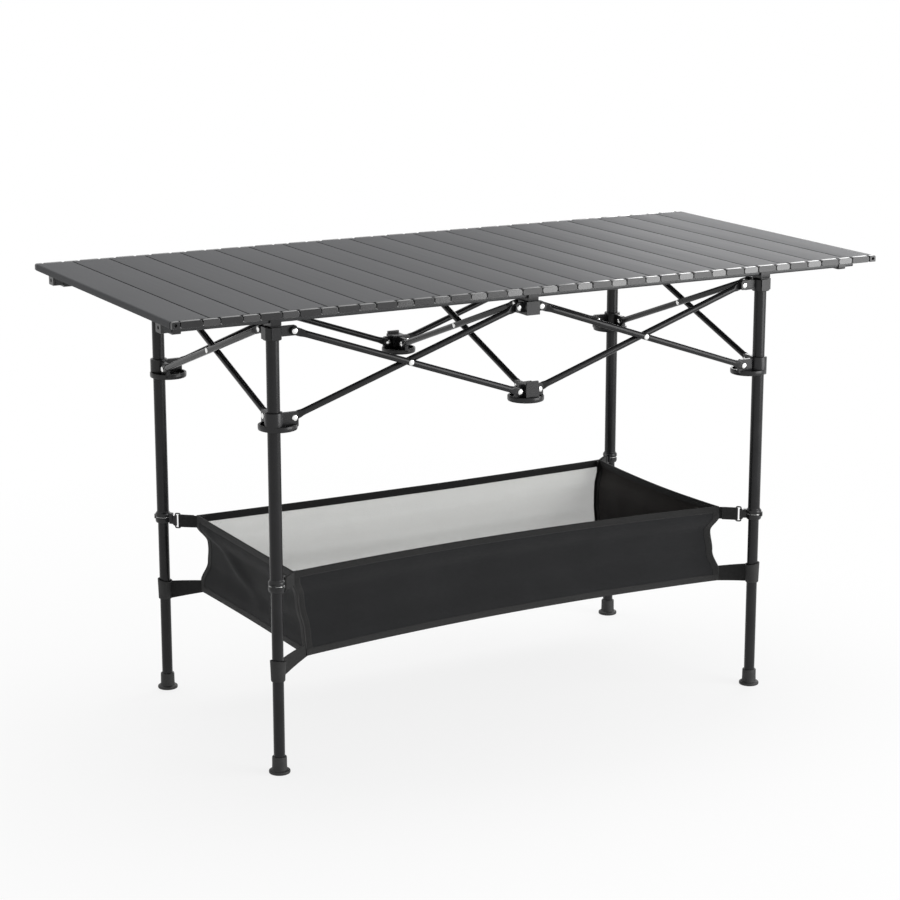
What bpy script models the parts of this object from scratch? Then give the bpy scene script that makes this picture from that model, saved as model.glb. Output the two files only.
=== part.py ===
# Folding camp table: roll-up slatted top, two rails, scissor frame on four telescoping legs, basket.
# Metres, +Z up, +X along the top, the floor at z = 0.
import math

import bmesh
import bpy
from mathutils import Matrix, Vector

# Fits
GAP = 0.0003
PIN_GAP = 0.0003
LEG_GAP = 0.0004
WELD = 0.0004

# Slatted top
TOP_HEIGHT = 0.704
TOP_OVERHANG = 0.062
SLAT_COUNT = 20
SLAT_PITCH = 0.060
SLAT_JOINT = 0.0008
SLAT_THICK = 0.010
SLAT_WALL = 0.0012
SLAT_EDGE = 0.0013
NOSE_EDGE = 0.0036
NOSE_DROP = 0.0029
END_ZONE = 0.008
PLUG_LENGTH = 0.0306
PLUG_SLOT = 0.0008
END_BULGE = 0.0011
BULGE_FLAT = 0.0032
LINK_TONGUE = 0.006
END_PLUG = 0.0114
END_SETBACK = 0.0006
HOLE_RADIUS = 0.0018
HOLE_INSET = 0.006
HOLE_DEPTH = 0.010

# Rails
RAIL_WIDTH = 0.020
RAIL_HEIGHT = 0.0147
RAIL_SETBACK = 0.005
RAIL_WALL = 0.0014
RAIL_CAP = 0.004
RAIL_VENT = 0.0025
CLIP_INSET = 0.023
CLIP_WIDTH = 0.013
CLIP_WALL = 0.0014
CLIP_DROP = 0.0028
CLIP_EASE = 0.002

# Scissor tubes
BAY_REACH = 0.372
PIN_FALL = 0.128
TUBE_RADIUS = 0.005
TUBE_SIDES = 10
EYE_BORDER = 0.001
EYE_THICK = 0.004
EYE_FLAT = 0.009
EYE_BLEND = 0.020
EYE_ROOM = 0.0006

# Pins and rivets
PIN_RADIUS = 0.0020
RIVET_BORDER = 0.0014
RIVET_HEAD = 0.0012
ROUND_SIDES = 8

# Hubs
LEG_REACH = 0.032
MID_REACH = 0.018
HUB_WALL = 0.0036
HUB_EASE = 0.0012
CAP_HEIGHT = 0.0205
CAP_EASE = 0.0040
LUG_HEIGHT = 0.0148
LUG_EASE = 0.0030
LUG_ROOT = 0.004
SADDLE_WIDTH = 0.017
SADDLE_WALL = 0.0030
SADDLE_RISE = 0.0103
SADDLE_BASE = 0.0045
SADDLE_STEP = 0.0015
NECK_RISE = 0.0007
PIN_DROP = 0.0095
MID_HALF_Y = 0.0130
SLIDER_RISE = 0.0115
MID_LOWER_RISE = 0.0115
LOWER_LUG_RISE = 0.0090
FLANGE_DROP = 0.0088
FLANGE_THICK = 0.0082
FLANGE_EASE = 0.0020
FLANGE_RADIUS = 0.0288
FLANGE_SHIFT = 0.0110
FLANGE_SIDES = 20
MID_FLANGE_RADIUS = 0.0280
MID_FLANGE_SHIFT = 0.0085

# Legs
LOWER_LEG_RADIUS = 0.0085
LOWER_LEG_WALL = 0.0012
UPPER_LEG_WALL = 0.0007
UPPER_LEG_LENGTH = 0.385
LEG_OVERLAP = 0.150
SOCKET_DEPTH = 0.0120
COLLAR_HEIGHT = 0.018
COLLAR_WALL = 0.0027
COLLAR_EASE = 0.0020
COLLAR_SLOPE = 0.0040
GROOVE_DEPTH = 0.0011
GROOVE_HALF = 0.0012
NUB_LENGTH = 0.0042
NUB_HALF = 0.0040
NUB_RISE = 0.0065
TAB_LENGTH = 0.0020
TAB_RISE = 0.0035
FOOT_BORDER = 0.0050
FOOT_BASE = 0.0050
FOOT_WALL = 0.0025
FOOT_HEIGHT = 0.0260
FOOT_EASE = 0.0010
LEG_SIDES = 16

# Basket
BASKET_INSET_X = 0.044
BASKET_INSET_Y = 0.036
BASKET_DEPTH = 0.125
BASKET_RISE = 0.006
BASKET_WALL = 0.0018
CORNER_DRAW = 0.010
DRAW_FOOT = 0.002
DRAW_LOW = 0.035
DRAW_HIGH = 0.040
WALL_BOW = 0.020
END_BOW = 0.006
STRAP_THICK = 0.0020
STRAP_START = 0.016
STRAP_HEIGHT = 0.020
STRAP_RISE = -0.004
LOWER_STRAP_HEIGHT = 0.019
LOOP_HEIGHT = 0.030
LOOP_THICK = 0.0016
LOOP_RISE = {"fl": -0.0115, "fr": 0.0200, "bl": -0.0020, "br": 0.0060}

# Plan, from the bays out
LEG_X = BAY_REACH + LEG_REACH + MID_REACH
LEG_Y = BAY_REACH / 2 + LEG_REACH
TOP_DEPTH = 2 * (LEG_Y + TOP_OVERHANG)
RAIL_LENGTH = SLAT_COUNT * SLAT_PITCH - 2 * RAIL_SETBACK
CLIP_X = RAIL_LENGTH / 2 - CLIP_INSET
LINK_LENGTH = SLAT_PITCH - PLUG_LENGTH - 4 * END_BULGE - 2 * PLUG_SLOT
BASKET_X = LEG_X - BASKET_INSET_X
BASKET_Y = LEG_Y - BASKET_INSET_Y

# Heights, from the top down
SLAT_BOTTOM = TOP_HEIGHT - SLAT_THICK
RAIL_TOP = SLAT_BOTTOM - GAP
RAIL_BOTTOM = RAIL_TOP - RAIL_HEIGHT
SADDLE_FLOOR = RAIL_BOTTOM - GAP
CAP_TOP = SADDLE_FLOOR - SADDLE_BASE - NECK_RISE
CAP_BOTTOM = CAP_TOP - CAP_HEIGHT
UPPER_PIN_Z = CAP_TOP - PIN_DROP
LOWER_PIN_Z = UPPER_PIN_Z - PIN_FALL
SLIDER_TOP = LOWER_PIN_Z + SLIDER_RISE
MID_LOWER_TOP = LOWER_PIN_Z + MID_LOWER_RISE
FLANGE_TOP = LOWER_PIN_Z - FLANGE_DROP
FLANGE_BOTTOM = FLANGE_TOP - FLANGE_THICK
UPPER_LEG_TOP = CAP_BOTTOM + SOCKET_DEPTH
COLLAR_BOTTOM = UPPER_LEG_TOP - UPPER_LEG_LENGTH
COLLAR_TOP = COLLAR_BOTTOM + COLLAR_HEIGHT
GROOVE_Z = (COLLAR_BOTTOM + COLLAR_TOP) / 2
LOWER_LEG_TOP = COLLAR_BOTTOM + LEG_OVERLAP
BASKET_TOP = GROOVE_Z + BASKET_RISE
BASKET_BOTTOM = BASKET_TOP - BASKET_DEPTH
STRAP_Z = GROOVE_Z + STRAP_RISE

# Radii that fit one another
UPPER_LEG_BORE = LOWER_LEG_RADIUS + LEG_GAP
UPPER_LEG_RADIUS = UPPER_LEG_BORE + UPPER_LEG_WALL
LOWER_BORE = LOWER_LEG_RADIUS - LOWER_LEG_WALL
HUB_BORE = UPPER_LEG_RADIUS + GAP
HUB_RADIUS = HUB_BORE + HUB_WALL
COLLAR_RADIUS = UPPER_LEG_RADIUS + COLLAR_WALL
COLLAR_GROOVE = COLLAR_RADIUS - GROOVE_DEPTH
NUB_REACH = COLLAR_RADIUS + NUB_LENGTH
TAB_REACH = COLLAR_RADIUS + TAB_LENGTH
FOOT_SLEEVE = LOWER_LEG_RADIUS + FOOT_WALL
FOOT_RADIUS = FOOT_SLEEVE + FOOT_BORDER
TUBE_OFFSET = TUBE_RADIUS + GAP / 2
EYE_RADIUS = TUBE_RADIUS + EYE_BORDER
RIVET_RADIUS = PIN_RADIUS + RIVET_BORDER
CROSS_HOLE = PIN_RADIUS + PIN_GAP
LUG_HALF = TUBE_OFFSET - EYE_THICK / 2 - GAP
MID_HALF_X = MID_REACH - EYE_RADIUS - EYE_ROOM

CORNERS = {"fl": (-1, -1), "fr": (1, -1), "bl": (-1, 1), "br": (1, 1)}

# Tidying of the meshes after each union: metres and radians
MERGE_DISTANCE = 0.000002
FLAT_ANGLE = 0.0005


def clear_scene():
    for item in list(bpy.data.objects):
        bpy.data.objects.remove(item)


def mesh_from(bm):
    bmesh.ops.recalc_face_normals(bm, faces=bm.faces)
    mesh = bpy.data.meshes.new("shape")
    bm.to_mesh(mesh)
    bm.free()
    return mesh


def loft(rings):
    """A closed body through rings of equal point count, capped at both ends."""
    bm = bmesh.new()
    rows = [[bm.verts.new(point) for point in ring] for ring in rings]
    count = len(rows[0])
    for lower, upper in zip(rows, rows[1:]):
        for i in range(count):
            j = (i + 1) % count
            bm.faces.new((lower[i], lower[j], upper[j], upper[i]))
    bm.faces.new(rows[0][::-1])
    bm.faces.new(rows[-1])
    return mesh_from(bm)


def loop_body(rings):
    """A closed body whose last ring joins its first, so that it has a hole through it."""
    bm = bmesh.new()
    rows = [[bm.verts.new(point) for point in ring] for ring in rings]
    count = len(rows[0])
    for lower, upper in zip(rows, rows[1:] + rows[:1]):
        for i in range(count):
            j = (i + 1) % count
            bm.faces.new((lower[i], lower[j], upper[j], upper[i]))
    return mesh_from(bm)


def box(low, high):
    ring = [(low[0], low[1]), (high[0], low[1]), (high[0], high[1]), (low[0], high[1])]
    return loft([[(x, y, z) for x, y in ring] for z in (low[2], high[2])])


def circle(radius, sides, centre=(0.0, 0.0), turn=0.5):
    angles = [2 * math.pi * (i + turn) / sides for i in range(sides)]
    return [(centre[0] + radius * math.cos(a), centre[1] + radius * math.sin(a)) for a in angles]


def turned(profile, sides, centre=(0.0, 0.0)):
    """A solid of stacked circles: profile holds (radius, height) pairs from the bottom up."""
    return loft([[(x, y, z) for x, y in circle(r, sides, centre)] for r, z in profile])


def pipe(profile, sides, centre=(0.0, 0.0)):
    """A ring-shaped body: profile holds (radius, height) pairs round its section."""
    return loop_body([[(x, y, z) for x, y in circle(r, sides, centre)] for r, z in profile])


def rod(start, end, radius, sides):
    start, end = Vector(start), Vector(end)
    along = (end - start).normalized()
    side = along.orthogonal().normalized()
    other = along.cross(side)
    rings = []
    for base in (start, end):
        rings.append([base + side * x + other * y for x, y in circle(radius, sides)])
    return loft(rings)


def bar_xz(outline, y_start, y_end):
    """Extrudes an x-z outline along y."""
    return loft([[(x, y, z) for x, z in outline] for y in (y_start, y_end)])


def bar_yz(outline, x_start, x_end):
    """Extrudes a y-z outline along x."""
    return loft([[(x, y, z) for y, z in outline] for x in (x_start, x_end)])


def moved(mesh, matrix):
    copy = mesh.copy()
    copy.transform(matrix)
    if matrix.determinant() < 0:
        copy.flip_normals()
    return copy


def combine(base, adds=(), cuts=()):
    """Exact union and difference of closed meshes, evaluated into one new mesh."""
    helpers = []
    main = bpy.data.objects.new("main", base)
    bpy.context.scene.collection.objects.link(main)
    for mode, meshes in (("UNION", adds), ("DIFFERENCE", cuts)):
        for mesh in meshes:
            helper = bpy.data.objects.new("helper", mesh)
            bpy.context.scene.collection.objects.link(helper)
            helpers.append(helper)
            modifier = main.modifiers.new(mode.lower(), "BOOLEAN")
            modifier.operation = mode
            modifier.solver = "EXACT"
            modifier.object = helper
    graph = bpy.context.evaluated_depsgraph_get()
    result = bpy.data.meshes.new_from_object(main.evaluated_get(graph), depsgraph=graph)
    for item in [main] + helpers:
        bpy.data.objects.remove(item)
    bm = bmesh.new()
    bm.from_mesh(result)
    bmesh.ops.remove_doubles(bm, verts=bm.verts, dist=MERGE_DISTANCE)
    bmesh.ops.dissolve_limit(bm, angle_limit=FLAT_ANGLE, verts=bm.verts, edges=bm.edges)
    bm.to_mesh(result)
    bm.free()
    return result


def material(name, colour, roughness, metallic=0.0):
    made = bpy.data.materials.new(name)
    made.use_nodes = True
    shader = made.node_tree.nodes["Principled BSDF"]
    shader.inputs["Base Color"].default_value = (*colour, 1.0)
    shader.inputs["Roughness"].default_value = roughness
    shader.inputs["Metallic"].default_value = metallic
    return made


def place(name, mesh, finish, origin=(0.0, 0.0, 0.0), matrix=None, smooth=False):
    """One node: the mesh is given in place unless a matrix says where it goes."""
    data = mesh.copy()
    data.name = name
    if matrix is None:
        data.transform(Matrix.Translation(-Vector(origin)))
        matrix = Matrix.Translation(Vector(origin))
    data.materials.clear()
    data.materials.append(finish)
    node = bpy.data.objects.new(name, data)
    node.matrix_world = matrix
    bpy.context.scene.collection.objects.link(node)
    if smooth:
        data.shade_smooth()
        data.set_sharp_from_angle(angle=math.radians(40))
    return node


def rounded_bar(half, low, high, left_edge, right_edge):
    """Section of a slat: square bottom corners, top corners eased in two steps of a circle."""
    step = 1 - math.sqrt(0.5)
    return [
        (-half, low),
        (half, low),
        (half, high - right_edge),
        (half - step * right_edge, high - step * right_edge),
        (half - right_edge, high),
        (-half + left_edge, high),
        (-half + step * left_edge, high - step * left_edge),
        (-half, high - left_edge),
    ]


def bulged(half, low, high):
    """Plug or link outline: its ends swell at mid height, so that the slots between are waisted."""
    middle = (low + high) / 2
    swell = half + END_BULGE
    flat = BULGE_FLAT / 2
    return [
        (-half, low),
        (half, low),
        (swell, middle - flat),
        (swell, middle + flat),
        (half, high),
        (-half, high),
        (-swell, middle + flat),
        (-swell, middle - flat),
    ]


def end_plug(half, low, high, outward):
    """Section of the plug at a slat's outer edge, with its top corner sloped like the nose."""
    far, near = half - END_SETBACK, half - END_SETBACK - END_PLUG
    outline = [(near, low), (far, low), (far, high - NOSE_DROP), (far - NOSE_EDGE, high), (near, high)]
    return [(outward * x, z) for x, z in outline]


def slat_mesh(position):
    """Hollow extrusion with its two end plugs and, towards the next slat, its two links."""
    half = (SLAT_PITCH - SLAT_JOINT) / 2
    left_edge = NOSE_EDGE if position == "first" else SLAT_EDGE
    right_edge = NOSE_EDGE if position == "last" else SLAT_EDGE
    low, high = SLAT_BOTTOM, TOP_HEIGHT
    reach = TOP_DEPTH / 2 - END_ZONE
    outer = rounded_bar(half, low, high, left_edge, right_edge)
    wall = SLAT_WALL
    left, right = -half + left_edge + wall / 2, half - right_edge - wall / 2
    inner = [(left, low + wall), (right, low + wall), (right, high - wall), (left, high - wall)]
    body = bar_xz(outer, -reach, reach)
    bore = bar_xz(inner, -reach - END_ZONE, reach + END_ZONE)
    outward = {"first": -1, "last": 1}.get(position, 0)
    hole_x = outward * (half - HOLE_INSET)
    middle = (low + high) / 2
    adds = []
    holes = []
    for side in (-1, 1):
        tip = side * TOP_DEPTH / 2
        joint = side * (reach - WELD)
        plug = bulged(PLUG_LENGTH / 2, low, high)
        adds.append(bar_xz(plug, min(joint, tip), max(joint, tip)))
        if position != "last":
            link = [(x + SLAT_PITCH / 2, z) for x, z in bulged(LINK_LENGTH / 2, low, high)]
            root = side * (reach + GAP)
            adds.append(bar_xz(link, min(root, tip), max(root, tip)))
            arm = (side * (reach - LINK_TONGUE), side * (reach + END_ZONE / 2))
            adds.append(
                box(
                    (SLAT_PITCH / 2 - LINK_LENGTH / 2 + WELD, min(arm), low + wall / 2),
                    (half - wall, max(arm), high - wall / 2),
                )
            )
        if outward:
            adds.append(bar_xz(end_plug(half, low, high, outward), min(joint, tip), max(joint, tip)))
            end = (hole_x, side * (TOP_DEPTH / 2 - HOLE_DEPTH), middle)
            mouth = (hole_x, side * (TOP_DEPTH / 2 + WELD), middle)
            holes.append(rod(end, mouth, HOLE_RADIUS, ROUND_SIDES))
    return combine(combine(body, cuts=[bore]), adds, holes)


def make_slats(finish):
    shapes = {kind: slat_mesh(kind) for kind in ("first", "middle", "last")}
    for index in range(SLAT_COUNT):
        kind = "first" if index == 0 else "last" if index == SLAT_COUNT - 1 else "middle"
        centre = (index - (SLAT_COUNT - 1) / 2) * SLAT_PITCH
        mesh = moved(shapes[kind], Matrix.Translation((centre, 0, 0)))
        hinge = (centre - SLAT_PITCH / 2, 0.0, TOP_HEIGHT)
        place(f"slat_{index + 1:02d}", mesh, finish, origin=hinge)


def rail_mesh():
    """Square tube with an end cap at each end and two clips that hold the top down."""
    half, end = RAIL_WIDTH / 2, RAIL_LENGTH / 2
    body = box((-end, -half, RAIL_BOTTOM), (end, half, RAIL_TOP))
    bore = box(
        (-end + RAIL_CAP, -half + RAIL_WALL, RAIL_BOTTOM + RAIL_WALL),
        (end - RAIL_CAP, half - RAIL_WALL, RAIL_TOP - RAIL_WALL),
    )
    middle = (RAIL_BOTTOM + RAIL_TOP) / 2
    vent = rod((-end - RAIL_CAP, 0, middle), (end + RAIL_CAP, 0, middle), RAIL_VENT, ROUND_SIDES)
    clips = []
    for side in (-1, 1):
        x = side * CLIP_X
        edge = half + CLIP_WALL
        base = RAIL_BOTTOM - CLIP_DROP
        lip = RAIL_TOP - CLIP_WALL / 2
        outline = [
            (-edge, base + CLIP_EASE),
            (-edge + CLIP_EASE, base),
            (edge - CLIP_EASE, base),
            (edge, base + CLIP_EASE),
            (edge, lip),
            (-edge, lip),
        ]
        clips.append(bar_yz(outline, x - CLIP_WIDTH / 2, x + CLIP_WIDTH / 2))
    return combine(body, clips, [bore, vent])


def port(direction, reach, pin_z, inner, pin_side, low, high):
    """Lug in the bay's plane with its pin: the tube's eye sits on pin_side of the lug."""
    dx, dy = direction
    along = Vector((dx, dy, 0))
    across = Vector((-dy, dx, 0)) * pin_side
    up = Vector((0, 0, 1))
    tip = reach + EYE_RADIUS
    outline = [
        (inner, low),
        (tip - LUG_EASE, low),
        (tip, low + LUG_EASE),
        (tip, high - LUG_EASE),
        (tip - LUG_EASE, high),
        (inner, high),
    ]
    rings = [[along * s + up * z + across * off for s, z in outline] for off in (-LUG_HALF, LUG_HALF)]
    lug = loft(rings)
    pin = along * reach + up * pin_z
    far = TUBE_OFFSET + EYE_THICK / 2 + GAP
    shaft = rod(pin - across * (LUG_HALF - WELD), pin + across * (far + WELD), PIN_RADIUS, ROUND_SIDES)
    near = LUG_HALF - WELD
    near_head = rod(pin - across * (LUG_HALF + RIVET_HEAD), pin - across * near, RIVET_RADIUS, ROUND_SIDES)
    far_head = rod(pin + across * far, pin + across * (far + RIVET_HEAD), RIVET_RADIUS, ROUND_SIDES)
    return [lug, shaft, near_head, far_head]


def upper_leg_hub(sx, sy, side_x, side_y):
    """Cap over the leg's top with two lugs and a saddle that the rail lies in."""
    body = turned(
        [
            (HUB_RADIUS - HUB_EASE, CAP_BOTTOM),
            (HUB_RADIUS, CAP_BOTTOM + HUB_EASE),
            (HUB_RADIUS, CAP_TOP - CAP_EASE / 2),
            (HUB_RADIUS - CAP_EASE, CAP_TOP),
        ],
        LEG_SIDES,
    )
    adds = saddle()
    root = HUB_RADIUS - LUG_ROOT
    adds += upper_port((-sx, 0), LEG_REACH, root, side_x)
    adds += upper_port((0, -sy), LEG_REACH, root, side_y)
    socket = turned([(HUB_BORE, CAP_BOTTOM - SOCKET_DEPTH), (HUB_BORE, UPPER_LEG_TOP + GAP)], LEG_SIDES)
    return combine(body, adds, [socket])


def upper_port(direction, reach, root, side):
    low, high = UPPER_PIN_Z - LUG_HEIGHT / 2, UPPER_PIN_Z + LUG_HEIGHT / 2
    return port(direction, reach, UPPER_PIN_Z, root, side, low, high)


def lower_port(direction, reach, root, side):
    low, high = FLANGE_TOP - FLANGE_EASE, LOWER_PIN_Z + LOWER_LUG_RISE
    return port(direction, reach, LOWER_PIN_Z, root, side, low, high)


def saddle():
    """Neck and two upright walls: the rail lies between the walls, open along its length."""
    half = SADDLE_WIDTH / 2
    inner = RAIL_WIDTH / 2 + GAP
    outer = inner + SADDLE_WALL
    rim = SADDLE_FLOOR + SADDLE_RISE
    outline = [
        (-outer, SADDLE_FLOOR - SADDLE_BASE),
        (outer, SADDLE_FLOOR - SADDLE_BASE),
        (outer, rim),
        (inner, rim),
        (inner, SADDLE_FLOOR),
        (-inner, SADDLE_FLOOR),
        (-inner, rim),
        (-outer, rim),
    ]
    x, y = half - SADDLE_STEP, outer - SADDLE_STEP
    neck = box((-x, -y, UPPER_LEG_TOP + HUB_WALL), (x, y, SADDLE_FLOOR - SADDLE_BASE / 2))
    return [bar_yz(outline, -half, half), neck]


def upper_mid_hub(sy, sides):
    """Block with a lug each way along the rail and one across the table."""
    body = box((-MID_HALF_X, -MID_HALF_Y, CAP_BOTTOM), (MID_HALF_X, MID_HALF_Y, CAP_TOP))
    adds = saddle()
    adds += upper_port((-1, 0), MID_REACH, MID_HALF_X - LUG_ROOT, sides["w"])
    adds += upper_port((1, 0), MID_REACH, MID_HALF_X - LUG_ROOT, sides["e"])
    adds += upper_port((0, -sy), LEG_REACH, MID_HALF_Y - LUG_ROOT, sides["in"])
    return combine(body, adds)


def flange(radius, centre):
    profile = [
        (radius - FLANGE_EASE, FLANGE_BOTTOM),
        (radius, FLANGE_BOTTOM + FLANGE_EASE),
        (radius, FLANGE_TOP - FLANGE_EASE / 2),
        (radius - FLANGE_EASE / 2, FLANGE_TOP),
    ]
    return turned(profile, FLANGE_SIDES, centre)


def slider(sx, sy, side_x, side_y):
    """Ring that runs on the leg, with two lugs standing on a round flange."""
    body = turned(
        [
            (HUB_RADIUS, FLANGE_BOTTOM + WELD),
            (HUB_RADIUS, SLIDER_TOP - HUB_EASE),
            (HUB_RADIUS - HUB_EASE, SLIDER_TOP),
        ],
        LEG_SIDES,
    )
    adds = [flange(FLANGE_RADIUS, (-sx * FLANGE_SHIFT, -sy * FLANGE_SHIFT))]
    root = HUB_RADIUS - HUB_WALL / 2
    adds += lower_port((-sx, 0), LEG_REACH, root, side_x)
    adds += lower_port((0, -sy), LEG_REACH, root, side_y)
    bore = turned([(HUB_BORE, FLANGE_BOTTOM - WELD), (HUB_BORE, SLIDER_TOP + WELD)], LEG_SIDES)
    return combine(body, adds, [bore])


def lower_mid_hub(sy, sides):
    """Block on a flange with a lug each way along the rail and one across the table."""
    body = box((-MID_HALF_X, -MID_HALF_Y, FLANGE_BOTTOM + WELD), (MID_HALF_X, MID_HALF_Y, MID_LOWER_TOP))
    adds = [flange(MID_FLANGE_RADIUS, (0.0, -sy * MID_FLANGE_SHIFT))]
    adds += lower_port((-1, 0), MID_REACH, MID_HALF_X - LUG_ROOT, sides["w"])
    adds += lower_port((1, 0), MID_REACH, MID_HALF_X - LUG_ROOT, sides["e"])
    adds += lower_port((0, -sy), LEG_REACH, MID_HALF_Y - LUG_ROOT, sides["in"])
    return combine(body, adds)


def tube_ring(along, half_width, half_thick, power):
    """Section of a tube across its length: power 2 is round, higher is squarer."""
    points = []
    for i in range(TUBE_SIDES):
        angle = 2 * math.pi * (i + 0.5) / TUBE_SIDES
        c, s = math.cos(angle), math.sin(angle)
        y = math.copysign(abs(c) ** (2 / power), c) * half_thick
        z = math.copysign(abs(s) ** (2 / power), s) * half_width
        points.append((along, y, z))
    return points


def tube_mesh(with_rivet):
    """Scissor tube along +X from its first pin, its ends pressed into flat eyes.

    The tube with the rivet has it at mid length, standing towards +Y through the other tube.
    """
    length = math.hypot(BAY_REACH, PIN_FALL)
    flat = EYE_THICK / 2
    square = 8
    ends = []
    for degrees in (68, 50, 25, 0):
        angle = math.radians(degrees)
        ends.append((-EYE_RADIUS * math.sin(angle), EYE_RADIUS * math.cos(angle), flat, square))
    ends[0] = (-EYE_RADIUS, EYE_RADIUS * math.cos(math.radians(68)), flat, square)
    ends.append((EYE_FLAT, EYE_RADIUS, flat, square))
    ends.append((EYE_BLEND, TUBE_RADIUS, TUBE_RADIUS, 2))
    rings = [tube_ring(s, w, t, p) for s, w, t, p in ends]
    rings += [tube_ring(length - s, w, t, p) for s, w, t, p in reversed(ends)]
    body = loft(rings)
    deep = 2 * TUBE_RADIUS
    middle = length / 2
    holes = (0.0, length) if with_rivet else (0.0, middle, length)
    cuts = [rod((x, -deep, 0), (x, deep, 0), CROSS_HOLE, ROUND_SIDES) for x in holes]
    adds = []
    if with_rivet:
        far = 3 * TUBE_RADIUS + 2 * GAP
        adds.append(rod((middle, 0, 0), (middle, far + WELD, 0), PIN_RADIUS, ROUND_SIDES))
        adds.append(rod((middle, far, 0), (middle, far + RIVET_HEAD, 0), RIVET_RADIUS, ROUND_SIDES))
        adds.append(rod((middle, -TUBE_RADIUS - RIVET_HEAD, 0), (middle, 0, 0), RIVET_RADIUS, ROUND_SIDES))
    return combine(body, adds, cuts)


def radial_block(direction, near, far, half, low, high):
    """Small block that stands out from a leg's axis along a direction in plan."""
    across = Vector((-direction.y, direction.x, 0))
    corners = [(near, -half), (far, -half), (far, half), (near, half)]
    return loft([[direction * s + across * t + Vector((0, 0, z)) for s, t in corners] for z in (low, high)])


def upper_leg_mesh(sx, sy):
    """Outer leg tube with its collar: a nub takes the basket's strap, and a tab faces outward."""
    profile = [
        (UPPER_LEG_BORE, COLLAR_BOTTOM),
        (COLLAR_RADIUS - COLLAR_EASE / 2, COLLAR_BOTTOM),
        (COLLAR_RADIUS, COLLAR_BOTTOM + COLLAR_EASE),
        (COLLAR_RADIUS, GROOVE_Z - GROOVE_HALF),
        (COLLAR_GROOVE, GROOVE_Z),
        (COLLAR_RADIUS, GROOVE_Z + GROOVE_HALF),
        (COLLAR_RADIUS, COLLAR_TOP - COLLAR_SLOPE),
        (UPPER_LEG_RADIUS, COLLAR_TOP),
        (UPPER_LEG_RADIUS, UPPER_LEG_TOP),
        (UPPER_LEG_BORE, UPPER_LEG_TOP),
    ]
    inward = Vector((-sx, -sy, 0)).normalized()
    near = COLLAR_GROOVE - GROOVE_DEPTH
    nub = radial_block(inward, near, NUB_REACH, NUB_HALF, GROOVE_Z - NUB_RISE, GROOVE_Z + NUB_RISE)
    tab = radial_block(-inward, near, TAB_REACH, NUB_HALF, GROOVE_Z - TAB_RISE, GROOVE_Z + TAB_RISE)
    return combine(pipe(profile, LEG_SIDES), [nub, tab])


def lower_leg_mesh():
    """Inner leg tube, open at the top, with its moulded foot."""
    profile = [
        (LOWER_BORE, FOOT_BASE),
        (LOWER_LEG_RADIUS, FOOT_BASE),
        (LOWER_LEG_RADIUS, LOWER_LEG_TOP),
        (LOWER_BORE, LOWER_LEG_TOP),
    ]
    foot = turned(
        [
            (FOOT_RADIUS - FOOT_EASE, 0.0),
            (FOOT_RADIUS, FOOT_EASE),
            (FOOT_RADIUS, FOOT_BASE - FOOT_EASE),
            (FOOT_SLEEVE, FOOT_BASE + FOOT_EASE),
            (FOOT_SLEEVE, FOOT_HEIGHT - FOOT_EASE),
            (FOOT_SLEEVE - FOOT_EASE, FOOT_HEIGHT),
        ],
        LEG_SIDES,
    )
    well_radius = LOWER_BORE - WELD
    well = turned([(well_radius, FOOT_BASE + FOOT_EASE), (well_radius, FOOT_HEIGHT + FOOT_EASE)], LEG_SIDES)
    return combine(pipe(profile, LEG_SIDES), [combine(foot, cuts=[well])])


def basket_outline(draw, inset):
    """Plan of the basket at one height: four corners, with every wall bowed a little inward."""
    x, y = BASKET_X - draw - inset, BASKET_Y - draw - inset
    walls = (
        ((-x, -y), (x, -y), (0, 1), WALL_BOW),
        ((x, -y), (x, y), (-1, 0), END_BOW),
        ((x, y), (-x, y), (0, -1), WALL_BOW),
        ((-x, y), (-x, -y), (1, 0), END_BOW),
    )
    steps = 6
    points = []
    for start, end, inward, bow in walls:
        for step in range(steps):
            t = step / steps
            depth = bow * math.sin(math.pi * t)
            points.append(tuple(a + (b - a) * t + n * depth for a, b, n in zip(start, end, inward)))
    return points


def strap(section, heights):
    """Flat band: section holds its four plan corners, heights a low and a high edge for each."""
    return loft([[p + Vector((0, 0, pair[k])) for p, pair in zip(section, heights)] for k in (0, 1)])


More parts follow.
